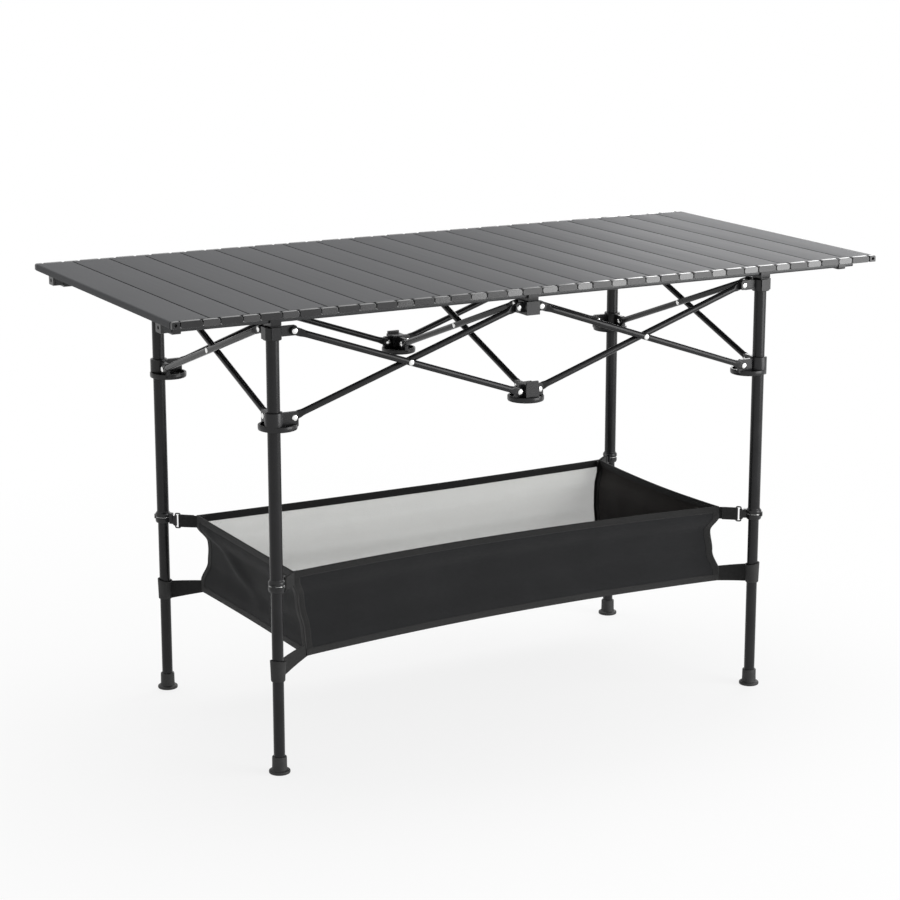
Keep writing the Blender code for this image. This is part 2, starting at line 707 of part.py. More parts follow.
def basket_mesh():
    """Fabric basket, open at the top, with a strap from each corner to the collar and one round the leg."""
    draws = [
        (BASKET_BOTTOM, DRAW_FOOT),
        (BASKET_BOTTOM + DRAW_LOW, CORNER_DRAW),
        (BASKET_TOP - DRAW_HIGH, CORNER_DRAW),
        (BASKET_TOP, 0.0),
    ]
    outer = loft([[(x, y, z) for x, y in basket_outline(draw, 0.0)] for z, draw in draws])
    inside = [(BASKET_BOTTOM + BASKET_WALL, DRAW_FOOT)] + draws[1:-1] + [(BASKET_TOP + WELD, 0.0)]
    inner = loft([[(x, y, z) for x, y in basket_outline(draw, BASKET_WALL)] for z, draw in inside])
    shell = combine(outer, cuts=[inner])
    bore = LOWER_LEG_RADIUS + GAP
    straps = []
    holes = []
    for name, (sx, sy) in CORNERS.items():
        leg = Vector((sx * LEG_X, sy * LEG_Y, 0))
        corner = Vector((sx * BASKET_X, sy * BASKET_Y, 0))
        away = (leg - corner).normalized()
        side = Vector((-away.y, away.x, 0)) * (STRAP_THICK / 2)
        start = corner - away * STRAP_START
        stop = leg - away * (NUB_REACH + GAP)
        edges = (STRAP_Z - STRAP_HEIGHT / 2, STRAP_Z + STRAP_HEIGHT / 2)
        straps.append(strap([start - side, stop - side, stop + side, start + side], [edges] * 4))
        z = BASKET_BOTTOM + LOOP_RISE[name]
        low, high = z - LOOP_HEIGHT / 2, z + LOOP_HEIGHT / 2
        loop = [(bore + LOOP_THICK, low), (bore + LOOP_THICK, high)]
        straps.append(turned(loop, LEG_SIDES, (leg.x, leg.y)))
        holes.append(turned([(bore, low - WELD), (bore, high + WELD)], LEG_SIDES, (leg.x, leg.y)))
        stop = leg - away * (bore + LOOP_THICK / 2)
        at_corner = (BASKET_BOTTOM + WELD, BASKET_BOTTOM + LOWER_STRAP_HEIGHT)
        at_leg = (low + WELD, high - WELD)
        section = [start - side, stop - side, stop + side, start + side]
        straps.append(strap(section, [at_corner, at_leg, at_leg, at_corner]))
    return combine(shell, straps, holes)


def make_tubes(finish, long_mesh, short_mesh):
    """Two crossing tubes in each bay. The first named tube carries the crossing rivet."""
    bays = {
        "front_a": ((-LEG_X + LEG_REACH, -LEG_Y), (1, 0), (0, -1)),
        "front_b": ((MID_REACH, -LEG_Y), (1, 0), (0, -1)),
        "back_a": ((LEG_X - LEG_REACH, LEG_Y), (-1, 0), (0, 1)),
        "back_b": ((-MID_REACH, LEG_Y), (-1, 0), (0, 1)),
        "left": ((-LEG_X, -LEG_Y + LEG_REACH), (0, 1), (-1, 0)),
        "right": ((LEG_X, LEG_Y - LEG_REACH), (0, -1), (1, 0)),
        "middle": ((0.0, -LEG_Y + LEG_REACH), (0, 1), (-1, 0)),
    }
    fall = math.atan2(PIN_FALL, BAY_REACH)
    for bay, (start, along, outward) in bays.items():
        run = Vector((along[0], along[1], 0))
        out = Vector((outward[0], outward[1], 0))
        far = Vector((start[0], start[1], 0)) + run * BAY_REACH
        near = Vector((start[0], start[1], 0))
        for name, base, heading, offset, mesh in (
            ("outer", near, run, out, long_mesh),
            ("inner", far, -run, -out, short_mesh),
        ):
            pin = base + offset * TUBE_OFFSET + Vector((0, 0, UPPER_PIN_Z))
            x_axis = heading * math.cos(fall) - Vector((0, 0, 1)) * math.sin(fall)
            y_axis = -offset if name == "outer" else offset
            z_axis = x_axis.cross(y_axis)
            frame = Matrix((x_axis, y_axis, z_axis)).transposed().to_4x4()
            place(f"tube_{bay}_{name}", mesh, finish, matrix=Matrix.Translation(pin) @ frame, smooth=True)


def port_side(direction, offset):
    """+1 where the tube lies on the left of the lug's outward direction, -1 where on its right."""
    left = (-direction[1], direction[0])
    return 1 if left[0] * offset[0] + left[1] * offset[1] > 0 else -1


# Which side of the bay's plane each hub's tube lies on: (corner, bay direction) to offset
UPPER_SIDES = {
    "fl": ((0, -1), (-1, 0)),
    "fr": ((0, 1), (-1, 0)),
    "bl": ((0, -1), (1, 0)),
    "br": ((0, 1), (1, 0)),
}
LOWER_SIDES = {
    "fl": ((0, 1), (1, 0)),
    "fr": ((0, -1), (1, 0)),
    "bl": ((0, 1), (-1, 0)),
    "br": ((0, -1), (-1, 0)),
}


def make_frame(painted, plastic, rail_paint):
    rail = rail_mesh()
    for name, side in (("front", -1), ("back", 1)):
        place(f"rail_{name}", moved(rail, Matrix.Translation((0, side * LEG_Y, 0))), rail_paint)
    lower_leg = lower_leg_mesh()
    for name, (sx, sy) in CORNERS.items():
        centre = Vector((sx * LEG_X, sy * LEG_Y, 0))
        there = Matrix.Translation(centre)
        ups = [port_side(d, o) for d, o in zip(((-sx, 0), (0, -sy)), UPPER_SIDES[name])]
        downs = [port_side(d, o) for d, o in zip(((-sx, 0), (0, -sy)), LOWER_SIDES[name])]
        hub = upper_leg_hub(sx, sy, *ups)
        place(f"hub_upper_{name}", moved(hub, there), plastic, origin=centre + Vector((0, 0, UPPER_PIN_Z)))
        runner = slider(sx, sy, *downs)
        place(f"slider_{name}", moved(runner, there), plastic, origin=centre + Vector((0, 0, LOWER_PIN_Z)))
        upper = moved(upper_leg_mesh(sx, sy), there)
        place(f"leg_upper_{name}", upper, painted, origin=centre, smooth=True)
        place(f"leg_lower_{name}", moved(lower_leg, there), painted, origin=centre, smooth=True)
    # Upper hub sides: west tube, east tube, crosswise tube
    mids = {
        "front": (-1, {"w": (0, 1), "e": (0, -1), "in": (-1, 0)}, {"w": (0, -1), "e": (0, 1), "in": (1, 0)}),
        "back": (1, {"w": (0, 1), "e": (0, -1), "in": (1, 0)}, {"w": (0, -1), "e": (0, 1), "in": (-1, 0)}),
    }
    for name, (sy, upper, lower) in mids.items():
        ways = {"w": (-1, 0), "e": (1, 0), "in": (0, -sy)}
        there = Matrix.Translation((0, sy * LEG_Y, 0))
        high = upper_mid_hub(sy, {k: port_side(ways[k], upper[k]) for k in ways})
        place(f"hub_upper_mid_{name}", moved(high, there), plastic, origin=(0, sy * LEG_Y, UPPER_PIN_Z))
        low = lower_mid_hub(sy, {k: port_side(ways[k], lower[k]) for k in ways})
        place(f"hub_lower_mid_{name}", moved(low, there), plastic, origin=(0, sy * LEG_Y, LOWER_PIN_Z))


def main():
    clear_scene()
    top_paint = material("top_paint", (0.16, 0.16, 0.165), 0.45, 0.6)
    rail_paint = material("rail_paint", (0.10, 0.10, 0.105), 0.45, 0.5)
    painted = material("frame_paint", (0.015, 0.015, 0.016), 0.35, 0.2)
    plastic = material("hub_plastic", (0.02, 0.02, 0.022), 0.45)
    cloth = material("basket_cloth", (0.02, 0.02, 0.021), 0.85)
    make_slats(top_paint)
    make_frame(painted, plastic, rail_paint)
    make_tubes(painted, tube_mesh(True), tube_mesh(False))
    place("basket", basket_mesh(), cloth)


main()
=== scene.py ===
import math

import bmesh
import bpy
from mathutils import Matrix, Vector, noise


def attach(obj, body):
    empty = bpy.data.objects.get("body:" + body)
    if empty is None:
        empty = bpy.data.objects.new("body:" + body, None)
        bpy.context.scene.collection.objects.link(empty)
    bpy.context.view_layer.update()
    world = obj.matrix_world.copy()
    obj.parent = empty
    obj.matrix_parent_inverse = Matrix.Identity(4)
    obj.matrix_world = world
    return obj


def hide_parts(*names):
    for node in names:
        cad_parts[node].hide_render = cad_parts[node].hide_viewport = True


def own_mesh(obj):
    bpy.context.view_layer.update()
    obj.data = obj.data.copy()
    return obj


# Folding camp table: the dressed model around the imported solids

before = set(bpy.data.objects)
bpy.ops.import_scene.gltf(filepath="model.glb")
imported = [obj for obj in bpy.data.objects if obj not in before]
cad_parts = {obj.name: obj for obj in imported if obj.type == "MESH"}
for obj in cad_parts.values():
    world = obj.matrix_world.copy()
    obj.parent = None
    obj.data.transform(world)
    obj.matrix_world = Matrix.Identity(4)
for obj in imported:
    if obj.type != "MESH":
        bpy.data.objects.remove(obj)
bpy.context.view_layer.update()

# Sizes repeated from the solids, in metres
PITCH = 0.060
COUNT = 20
SLAT_GAP = 0.0008
SLAT_WALL = 0.0012
TOP = 0.704
THICK = 0.010
LOW = TOP - THICK
SLAT_MID = (LOW + TOP) / 2
DEPTH = 0.560
PLUG_LONG = 0.008
REACH = DEPTH / 2 - PLUG_LONG
HALF = (PITCH - SLAT_GAP) / 2
RAIL_HALF = 0.010
RAIL_END = 0.595
RAIL_BOTTOM = 0.679
RAIL_TOP = LOW - 0.0003
RAIL_WALL = 0.0014
RAIL_CAP = 0.004
CLIP_AT = 0.572
UP_PIN = 0.664
LOW_PIN = 0.536
BAY = 0.372
LEG_REACH = 0.032
MID_REACH = 0.018
LEG_X = BAY + LEG_REACH + MID_REACH
LEG_Y = BAY / 2 + LEG_REACH
TUBE_R = 0.005
TUBE_OFF = 0.00515
EYE_R = 0.006
EYE_T = 0.004
RIVET_R = 0.0020
LUG = TUBE_OFF - EYE_T / 2 - 0.0003
HUB_R = 0.0135
HUB_LOW = 0.6530
HUB_HIGH = 0.6735
MID_HUB = (0.0114, 0.0130)
SLIDER_LOW = 0.5195
COLLAR_GROOVE = 0.289
CORNERS = {"fl": (-1, -1), "fr": (1, -1), "bl": (-1, 1), "br": (1, 1)}

# Sizes of the looks
GAP_EASE = 0.0005
NOSE = 0.0036
NET_THREAD = 0.0016
PAST = 0.01
AMBIENT = 0.45
EVEN = (1, 1, 1)
Z = Vector((0, 0, 1))

for item in list(bpy.data.lights):
    bpy.data.lights.remove(item)


# Mesh helpers

def smooth(t):
    t = min(1.0, max(0.0, t))
    return t * t * (3 - 2 * t)


def show(obj):
    bpy.context.scene.collection.objects.link(obj)
    return obj


def to_mesh(bm, name):
    bmesh.ops.recalc_face_normals(bm, faces=bm.faces)
    mesh = bpy.data.meshes.new(name)
    bm.to_mesh(mesh)
    bm.free()
    return mesh


def loft(rings, closed=False, uvs=None):
    """Skin through rings of equal length, joined end to end where closed and capped where not."""
    bm = bmesh.new()
    layer = bm.loops.layers.uv.new("cloth") if uvs else None
    rows = [[bm.verts.new(p) for p in ring] for ring in rings]
    count = len(rows[0])
    for k in range(len(rows) - (not closed)):
        m = (k + 1) % len(rows)
        for i in range(count):
            j = (i + 1) % count
            places = ((k, i), (k, j), (m, j), (m, i))
            face = bm.faces.new([rows[r][c] for r, c in places])
            for loop, (r, c) in zip(face.loops, places if uvs else ()):
                loop[layer].uv = uvs[r][c]
    if not closed:
        bm.faces.new(rows[0][::-1])
        bm.faces.new(rows[-1])
    return to_mesh(bm, "loft")


def circle(radius, sides, centre=(0.0, 0.0)):
    angles = [2 * math.pi * i / sides for i in range(sides)]
    return [(centre[0] + radius * math.cos(a), centre[1] + radius * math.sin(a)) for a in angles]


def turned(profile, sides=48, centre=(0.0, 0.0), closed=False):
    """Body turned round an upright axis: profile holds (radius, height)."""
    return loft([[(x, y, z) for x, y in circle(r, sides, centre)] for r, z in profile], closed)


def spun(start, end, profile, sides=20):
    """Round body along a line: profile holds (distance from start, radius)."""
    start, end = Vector(start), Vector(end)
    along = (end - start).normalized()
    side = along.orthogonal().normalized()
    other = along.cross(side)
    return loft([
        [start + along * s + side * x + other * y for x, y in circle(r, sides)]
        for s, r in profile
    ])


def rod(start, end, radius, sides=20):
    return spun(start, end, [(0, radius), ((Vector(end) - Vector(start)).length, radius)], sides)


def rect(x0, z0, x1, z1):
    return [(x0, z0), (x1, z0), (x1, z1), (x0, z1)]


def box(low, high):
    ring = rect(low[0], low[1], high[0], high[1])
    return loft([[(x, y, z) for x, y in ring] for z in (low[2], high[2])])


def bar_y(outline, y0, y1):
    return loft([[(x, y, z) for x, z in outline] for y in sorted((y0, y1))])


def bar_x(outline, x0, x1):
    return loft([[(x, y, z) for y, z in outline] for x in sorted((x0, x1))])


def eased(points, radius, steps=4):
    """Rounds the corners of a plan outline. radius is one value or one for each corner."""
    out = []
    n = len(points)
    for i, p in enumerate(points):
        r = radius[i] if hasattr(radius, "__len__") else radius
        p, before, after = Vector(p), Vector(points[i - 1]), Vector(points[(i + 1) % n])
        if r <= 0:
            out.append(tuple(p))
            continue
        a, b = (before - p), (after - p)
        cut = min(r, a.length * 0.49, b.length * 0.49)
        a.normalize()
        b.normalize()
        start, stop = p + a * cut, p + b * cut
        for k in range(steps + 1):
            t = k / steps
            out.append(tuple(start * (1 - t) ** 2 + p * 2 * t * (1 - t) + stop * t ** 2))
    return out


def combine(base, adds=(), cuts=(), tidy=True):
    """Joins and cuts closed meshes, then drops doubled points and needless edges."""
    helpers = []
    main = show(bpy.data.objects.new("main", base))
    for mode, meshes in (("UNION", adds), ("DIFFERENCE", cuts)):
        for mesh in meshes:
            helper = show(bpy.data.objects.new("helper", mesh))
            helpers.append(helper)
            modifier = main.modifiers.new(mode.lower(), "BOOLEAN")
            modifier.operation = mode
            modifier.solver = "EXACT"
            modifier.object = helper
    graph = bpy.context.evaluated_depsgraph_get()
    result = bpy.data.meshes.new_from_object(main.evaluated_get(graph), depsgraph=graph)
    for thing in [main] + helpers:
        bpy.data.objects.remove(thing)
    if tidy:
        bm = bmesh.new()
        bm.from_mesh(result)
        bmesh.ops.remove_doubles(bm, verts=bm.verts, dist=0.000004)
        bmesh.ops.dissolve_limit(bm, angle_limit=0.0006, verts=bm.verts, edges=bm.edges)
        bm.to_mesh(result)
        bm.free()
    return result


def block(out, near, far, wide, tip, low, high):
    """Upright block pointing outwards. Half its width is wide at its near end and tip at its far end."""
    side = Vector((-out.y, out.x, 0))
    plan = [out * s + side * t for s, t in ((near, -wide), (far, -tip), (far, tip), (near, wide))]
    return loft([[p + Z * z for p in plan] for z in (low, high)])


def merged(meshes):
    bm = bmesh.new()
    for mesh in meshes:
        bm.from_mesh(mesh)
    out = bpy.data.meshes.new("merged")
    bm.to_mesh(out)
    bm.free()
    return out


def moved(mesh, x, y=0.0):
    copy = mesh.copy()
    copy.transform(Matrix.Translation((x, y, 0)))
    return copy


def piece(name, mesh, material, body, node=None, bevel=0.0, slot=None, matrix=None, angle=35):
    """One visible piece: it rides on a body, and stands for a node where one is named."""
    data = mesh.copy()
    data.name = name
    for m in material if isinstance(material, list) else [material]:
        data.materials.append(m)
    obj = bpy.data.objects.new(name, data)
    if matrix is not None:
        obj.matrix_world = matrix
    show(obj)
    data.shade_smooth()
    if bevel:
        cut = obj.modifiers.new("bevel", "BEVEL")
        cut.width = bevel
        cut.segments = 2
        cut.limit_method = "ANGLE"
        cut.angle_limit = math.radians(30)
        cut.harden_normals = True
        cut.use_clamp_overlap = True
    data.set_sharp_from_angle(angle=math.radians(angle))
    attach(obj, body)
    if node:
        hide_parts(node)
    return obj


# Materials

class Nodes:
    """Short forms for building a node tree."""

    def __init__(self, name):
        self.material = bpy.data.materials.new(name)
        self.material.use_nodes = True
        self.tree = self.material.node_tree
        self.shader = self.tree.nodes["Principled BSDF"]
        self.coords = self.tree.nodes.new("ShaderNodeTexCoord")

    def put(self, socket, value):
        """Links an output to the socket, or sets a number or a colour on it."""
        if isinstance(value, bpy.types.NodeSocket):
            self.tree.links.new(value, socket)
        elif socket.type == "RGBA":
            socket.default_value = (*value, 1)
        else:
            socket.default_value = value

    def add(self, kind, **values):
        node = self.tree.nodes.new(kind)
        for key, value in values.items():
            if key in node.inputs:
                self.put(node.inputs[key], value)
            else:
                setattr(node, key, value)
        return node

    def scaled(self, scale):
        vector = self.coords.outputs["Object"]
        return self.add("ShaderNodeMapping", Vector=vector, Scale=scale).outputs["Vector"]

    def noise(self, stretch, scale=1.0, detail=3.0, roughness=0.55):
        vector = self.scaled(stretch)
        node = self.add("ShaderNodeTexNoise", Vector=vector, Scale=scale, Detail=detail, Roughness=roughness)
        return node.outputs["Fac"]

    def uv(self):
        split = self.add("ShaderNodeSeparateXYZ")
        self.put(split.inputs[0], self.add("ShaderNodeUVMap").outputs["UV"])
        return split.outputs[0], split.outputs[1]

    def ramp(self, source, low, high, start=0.3, stop=0.7):
        node = self.add("ShaderNodeValToRGB", Fac=source)
        for element, place, value in zip(node.color_ramp.elements, (start, stop), (low, high)):
            element.position = place
            element.color = (*value, 1) if isinstance(value, tuple) else (value, value, value, 1)
        return node.outputs["Color"]

    def math(self, operation, a, b=None):
        node = self.add("ShaderNodeMath", operation=operation)
        for socket, value in zip(node.inputs, (a, b)):
            if value is not None:
                self.put(socket, value)
        return node.outputs[0]

    def shade(self, factor, a, b):
        """Darkens a by b, as much as factor says."""
        node = self.add("ShaderNodeMix", data_type="RGBA", blend_type="MULTIPLY")
        for index, value in ((0, factor), (6, a), (7, b)):
            self.put(node.inputs[index], value)
        return node.outputs[2]

    def bump(self, height, strength, distance):
        node = self.add("ShaderNodeBump", Strength=strength, Distance=distance, Height=height)
        return node.outputs["Normal"]

    def finish(self, colour, roughness, normal, **constants):
        self.put(self.shader.inputs["Base Color"], colour)
        self.put(self.shader.inputs["Roughness"], roughness)
        self.put(self.shader.inputs["Normal"], normal)
        for key, value in constants.items():
            self.put(self.shader.inputs[key.replace("_", " ")], value)
        return self.material


def brushed_top():
    n = Nodes("top_brushed")
    fine = n.noise((900, 9, 900), 1.0, 2.0, 0.6)
    broad = n.noise((120, 3, 120))
    cloud = n.noise((9, 6, 9), 1.0, 2.0)
    mixed = n.math("ADD", n.math("MULTIPLY", fine, 0.5), n.math("MULTIPLY", broad, 0.5))
    streak = n.ramp(mixed, (0.048, 0.049, 0.051), (0.076, 0.077, 0.080))
    colour = n.shade(0.35, streak, n.ramp(cloud, 0.80, 1.0))
    rough = n.ramp(mixed, 0.44, 0.58, 0.25, 0.75)
    normal = n.bump(mixed, 0.14, 0.0002)
    tint = (0.45, 0.45, 0.46)
    return n.finish(colour, rough, normal, Metallic=0.35, Specular_IOR_Level=0.18, Specular_Tint=tint)


def rail_paint():
    n = Nodes("rail_satin")
    grain = n.noise((30, 900, 900), 1.0, 2.0)
    cloud = n.noise((14, 14, 14))
    base = n.ramp(grain, (0.024, 0.025, 0.026), (0.036, 0.037, 0.039))
    colour = n.shade(0.4, base, n.ramp(cloud, 0.85, 1.0))
    return n.finish(colour, n.ramp(grain, 0.24, 0.34), n.bump(grain, 0.08, 0.0002), Metallic=0.3)


def powder_coat():
    n = Nodes("frame_powder")
    peel = n.noise(EVEN, 1400.0, 2.0)
    cloud = n.noise(EVEN, 22.0)
    colour = n.ramp(cloud, (0.0140, 0.0140, 0.0148), (0.0205, 0.0205, 0.0215))
    rough = n.ramp(cloud, 0.19, 0.27)
    return n.finish(colour, rough, n.bump(peel, 0.10, 0.0001), Specular_IOR_Level=0.22)


def moulded(name, dark, light, low, high, grain=900.0, strength=0.18, specular=0.5):
    """Moulded plastic or rubber: low and high are the ends of its roughness."""
    n = Nodes(name)
    spark = n.noise(EVEN, grain, 2.0)
    cloud = n.noise(EVEN, 60.0)
    colour = n.ramp(cloud, dark, light)
    rough = n.ramp(spark, low, high)
    return n.finish(colour, rough, n.bump(spark, strength, 0.0001), Specular_IOR_Level=specular)


def steel():
    n = Nodes("rivet_steel")
    turn = n.noise(EVEN, 700.0)
    colour = n.ramp(turn, (0.74, 0.74, 0.73), (0.88, 0.88, 0.87))
    return n.finish(colour, n.ramp(turn, 0.16, 0.30), n.bump(turn, 0.06, 0.0001), Metallic=1.0)


def woven(name, dark, light, thread=0.00065, rough=0.86, sheen=0.15, strength=0.5):
    """Plain weave from crossed waves over the piece's own UV map, which is in metres."""
    n = Nodes(name)
    u, v = (n.math("SINE", n.math("MULTIPLY", axis, math.pi / thread)) for axis in n.uv())
    over = n.math("GREATER_THAN", n.math("MULTIPLY", u, v), 0.0)
    pick = n.add("ShaderNodeMix", data_type="FLOAT")
    for index, value in ((0, over), (2, n.math("ABSOLUTE", u)), (3, n.math("ABSOLUTE", v))):
        n.put(pick.inputs[index], value)
    height = pick.outputs[0]
    slub = n.noise(EVEN, 260.0)
    cloud = n.noise(EVEN, 12.0)
    mixed = n.math("ADD", n.math("MULTIPLY", height, 0.6), n.math("MULTIPLY", slub, 0.4))
    colour = n.shade(0.45, n.ramp(mixed, dark, light, 0.15, 0.95), n.ramp(cloud, 0.72, 1.0))
    normal = n.bump(height, strength, 0.0003)
    return n.finish(colour, rough, normal, Specular_IOR_Level=0.25, Sheen_Weight=sheen, Sheen_Roughness=0.5)


def mesh_cloth():
    """Open net: pale threads with a see-through dot at each opening."""
    n = Nodes("basket_net")
    x, y = n.uv()
    turn = math.pi / NET_THREAD
    u, v = (
        n.math("ABSOLUTE", n.math("SINE", n.math("MULTIPLY", n.math(way, x, y), turn)))
        for way in ("ADD", "SUBTRACT")
    )
    hole = n.math("MULTIPLY", u, v)
    cloud = n.noise(EVEN, 30.0)
    base = n.ramp(hole, (0.84, 0.85, 0.81), (0.68, 0.69, 0.65), 0.35, 0.75)
    colour = n.shade(0.5, base, n.ramp(cloud, 0.90, 1.0))
    n.put(n.shader.inputs["Alpha"], n.ramp(hole, 0.74, 0.10, 0.30, 0.62))
    return n.finish(colour, 0.8, n.bump(hole, 0.5, 0.0004), Specular_IOR_Level=0.2)


TOP_METAL = brushed_top()
# Painted shade: a darker material for the slat sides that face into the gaps between slats
GAP_PAINTED_SHADE = moulded("gap_painted_shade", 0.006, 0.010, 0.6, 0.8, 900.0, 0.10, 0.1)
RAIL = rail_paint()
POWDER = powder_coat()
NYLON = moulded("hub_nylon", (0.009, 0.009, 0.010), (0.014, 0.014, 0.015), 0.25, 0.36, specular=0.34)
PLUG = moulded("plug_plastic", (0.012, 0.012, 0.013), (0.018, 0.018, 0.019), 0.20, 0.27, 700.0, 0.08, 0.42)
LINK = moulded("link_plastic", (0.018, 0.018, 0.019), (0.028, 0.028, 0.029), 0.17, 0.23, 700.0, 0.08, 0.80)
FOOT = moulded("foot_rubber", 0.012, 0.020, 0.55, 0.70)
STEEL = steel()
CLOTH = woven("basket_oxford", (0.0055, 0.0057, 0.0062), (0.0180, 0.0184, 0.0198), sheen=0.08)
LINING = woven("basket_lining", (0.0105, 0.0085, 0.0078), (0.027, 0.022, 0.020))
TAPE = woven("hem_tape", 0.006, 0.020, 0.0008, 0.8)
HEM = woven("hem_fold", 0.010, 0.034, 0.0008, 0.8)
NET = mesh_cloth()
WEBBING = woven("strap_webbing", 0.007, 0.024, 0.0011, 0.8, 0.1, 0.7)
TAPE_ROUND = moulded("corner_piping", 0.007, 0.018, 0.62, 0.8, 1500.0, 0.5)
WEBBING_ROUND = moulded("loop_webbing", 0.008, 0.020, 0.62, 0.8, 1500.0, 0.5)
BUCKLE = moulded("buckle_metal", 0.016, 0.030, 0.22, 0.32, 900.0, 0.06)


# Slatted top

def slat_outline(kind):
    """Section of a slat with eased corners. The end slats have a rounded nose."""
    left = NOSE if kind == "first" else 0.0009
    right = NOSE if kind == "last" else 0.0009
    x0 = -HALF if kind == "first" else -HALF + GAP_EASE
    x1 = HALF if kind == "last" else HALF - GAP_EASE
    return eased(rect(x0, LOW, x1, TOP), [0.0006, 0.0006, right, left], 5)


def bulged(half, z0, z1, ease=0.0013):
    """Section with swollen sides, for plugs and links."""
    swell = half + 0.0017
    low, high = (z0 + z1) / 2 - 0.0016, (z0 + z1) / 2 + 0.0016
    points = [(-half, z0), (half, z0), (swell, low), (swell, high)]
    points += [(half, z1), (-half, z1), (-swell, high), (-swell, low)]
    return eased(points, [ease, ease, 0.002, 0.002] * 2, 3)


def slat_metal(kind):
    """Hollow slat with three chambers."""
    body = bar_y(slat_outline(kind), -REACH, REACH)
    left = NOSE if kind == "first" else 0.0013
    right = NOSE if kind == "last" else 0.0013
    x0, x1 = -HALF + left * 0.7 + SLAT_WALL, HALF - right * 0.7 - SLAT_WALL
    third = (x1 - x0 - 2 * SLAT_WALL) / 3
    bores = []
    for k in range(3):
        a = x0 + k * (third + SLAT_WALL)
        low = (a, -REACH - PAST, LOW + SLAT_WALL)
        bores.append(box(low, (a + third, REACH + PAST, TOP - SLAT_WALL)))
    mesh = combine(body, cuts=bores)
    # The sides that face the next slat get a darker material: painted shade for the gap between slats
    for face in mesh.polygons:
        x = face.center.x
        hidden = (x > 0 and kind != "last") or (x < 0 and kind != "first")
        if hidden and abs(face.normal.x) > 0.8 and abs(x) > HALF - 0.002:
            face.material_index = 1
    return mesh


def plug_pair(kind):
    """Plugs at both ends of a slat. Those of the end slats also close the nose, with a small hole."""
    parts = []
    outward = -1 if kind == "first" else 1
    for side in (-1, 1):
        tip = side * DEPTH / 2
        base = side * (REACH - 0.0001)
        parts.append(bar_y(bulged(0.0147, LOW, TOP), base, tip))
        if kind != "middle":
            a, b = sorted((outward * (HALF - 0.0120), outward * (HALF - 0.0006)))
            radii = [0.001, 0.001] + ([NOSE, 0.0008] if outward > 0 else [0.0008, NOSE])
            end = bar_y(eased(rect(a, LOW, b, TOP), radii, 4), base, tip)
            x = outward * (HALF - 0.006)
            mouth = (x, side * (DEPTH / 2 + PAST), SLAT_MID)
            hole = rod((x, side * (REACH + 0.003), SLAT_MID), mouth, 0.0021, 24)
            parts.append(combine(end, cuts=[hole]))
    return merged(parts)


def link_pair():
    outline = bulged(0.0111, LOW + 0.0002, TOP - 0.0002, 0.0019)
    near, far = REACH + 0.0003, DEPTH / 2 - 0.0001
    return merged([bar_y(outline, -near, -far), bar_y(outline, near, far)])


def make_top():
    kinds = ("first", "middle", "last")
    metals = {kind: slat_metal(kind) for kind in kinds}
    plugs = {kind: plug_pair(kind) for kind in kinds}
    links = link_pair()
    faces = [TOP_METAL, GAP_PAINTED_SHADE]
    for i in range(COUNT):
        kind = "first" if i == 0 else "last" if i == COUNT - 1 else "middle"
        name = f"{i + 1:02d}"
        body = f"plank_{name}"
        x = (i - (COUNT - 1) / 2) * PITCH
        metal = moved(metals[kind], x)
        piece(f"slat_metal_{name}", metal, faces, body, node=f"slat_{name}", slot="top_paint")
        piece(f"slat_plugs_{name}", moved(plugs[kind], x), PLUG, body, bevel=0.0006)
        if i < COUNT - 1:
            piece(f"slat_links_{name}", moved(links, x + PITCH / 2), LINK, body, bevel=0.0007)


# Rails

def grown(amount):
    """The rail's section, larger by an amount on each side."""
    return rect(-RAIL_HALF - amount, RAIL_BOTTOM - amount, RAIL_HALF + amount, RAIL_TOP + amount)


def rail_clip(x):
    edge = RAIL_HALF + 0.0014
    outer = rect(-edge, RAIL_BOTTOM - 0.0028, edge, RAIL_TOP - 0.001)
    slack = RAIL_HALF + 0.0001
    inner = rect(-slack, RAIL_BOTTOM - 0.0001, slack, RAIL_TOP + 0.002)
    shell = bar_x(eased(outer, [0.0025, 0.0025, 0.0004, 0.0004], 4), x - 0.0065, x + 0.0065)
    return combine(shell, cuts=[bar_x(inner, x - 0.01, x + 0.01)])


def rail_cap(side):
    cap = bar_x(eased(grown(0.0), 0.0024, 4), side * RAIL_END, side * (RAIL_END - RAIL_CAP))
    mid = (RAIL_BOTTOM + RAIL_TOP) / 2
    vent = rod((side * (RAIL_END + 0.005), 0, mid), (side * (RAIL_END - 0.01), 0, mid), 0.0025, 20)
    return combine(cap, cuts=[vent])


def make_rails():
    outer = bar_x(eased(grown(0.0), 0.0022, 4), -RAIL_END + RAIL_CAP, RAIL_END - RAIL_CAP)
    inner = bar_x(eased(grown(-RAIL_WALL), 0.001, 3), -RAIL_END, RAIL_END)
    shell = combine(outer, cuts=[inner])
    caps = merged([rail_cap(s) for s in (-1, 1)])
    clips = merged([rail_clip(s * CLIP_AT) for s in (-1, 1)])
    for name, y, body in (("front", -LEG_Y, "centre"), ("back", LEG_Y, "hub_mid_back")):
        piece(f"rail_tube_{name}", moved(shell, 0, y), RAIL, body, node=f"rail_{name}", slot="rail_paint")
        piece(f"rail_caps_{name}", moved(caps, 0, y), PLUG, body, bevel=0.0006)
        piece(f"rail_clips_{name}", moved(clips, 0, y), PLUG, body, bevel=0.0005)


# Hubs, with rivets as pieces of their own

LUG_HEAD = [(0.0, 0.0045), (0.0005, 0.0044), (0.0010, 0.0037), (0.0013, 0.0024), (0.0014, 0.0004)]
CROSS_HEAD = [(0.0, 0.0043), (0.0006, 0.0042), (0.0011, 0.0035), (0.0014, 0.0020), (0.0015, 0.0003)]
UP_LUG = (UP_PIN - 0.0074, UP_PIN + 0.0074)
LOW_LUG = (0.5225, LOW_PIN + 0.0092)
MID_FITS = ((MID_REACH, 0.0074), (LEG_REACH, 0.009))


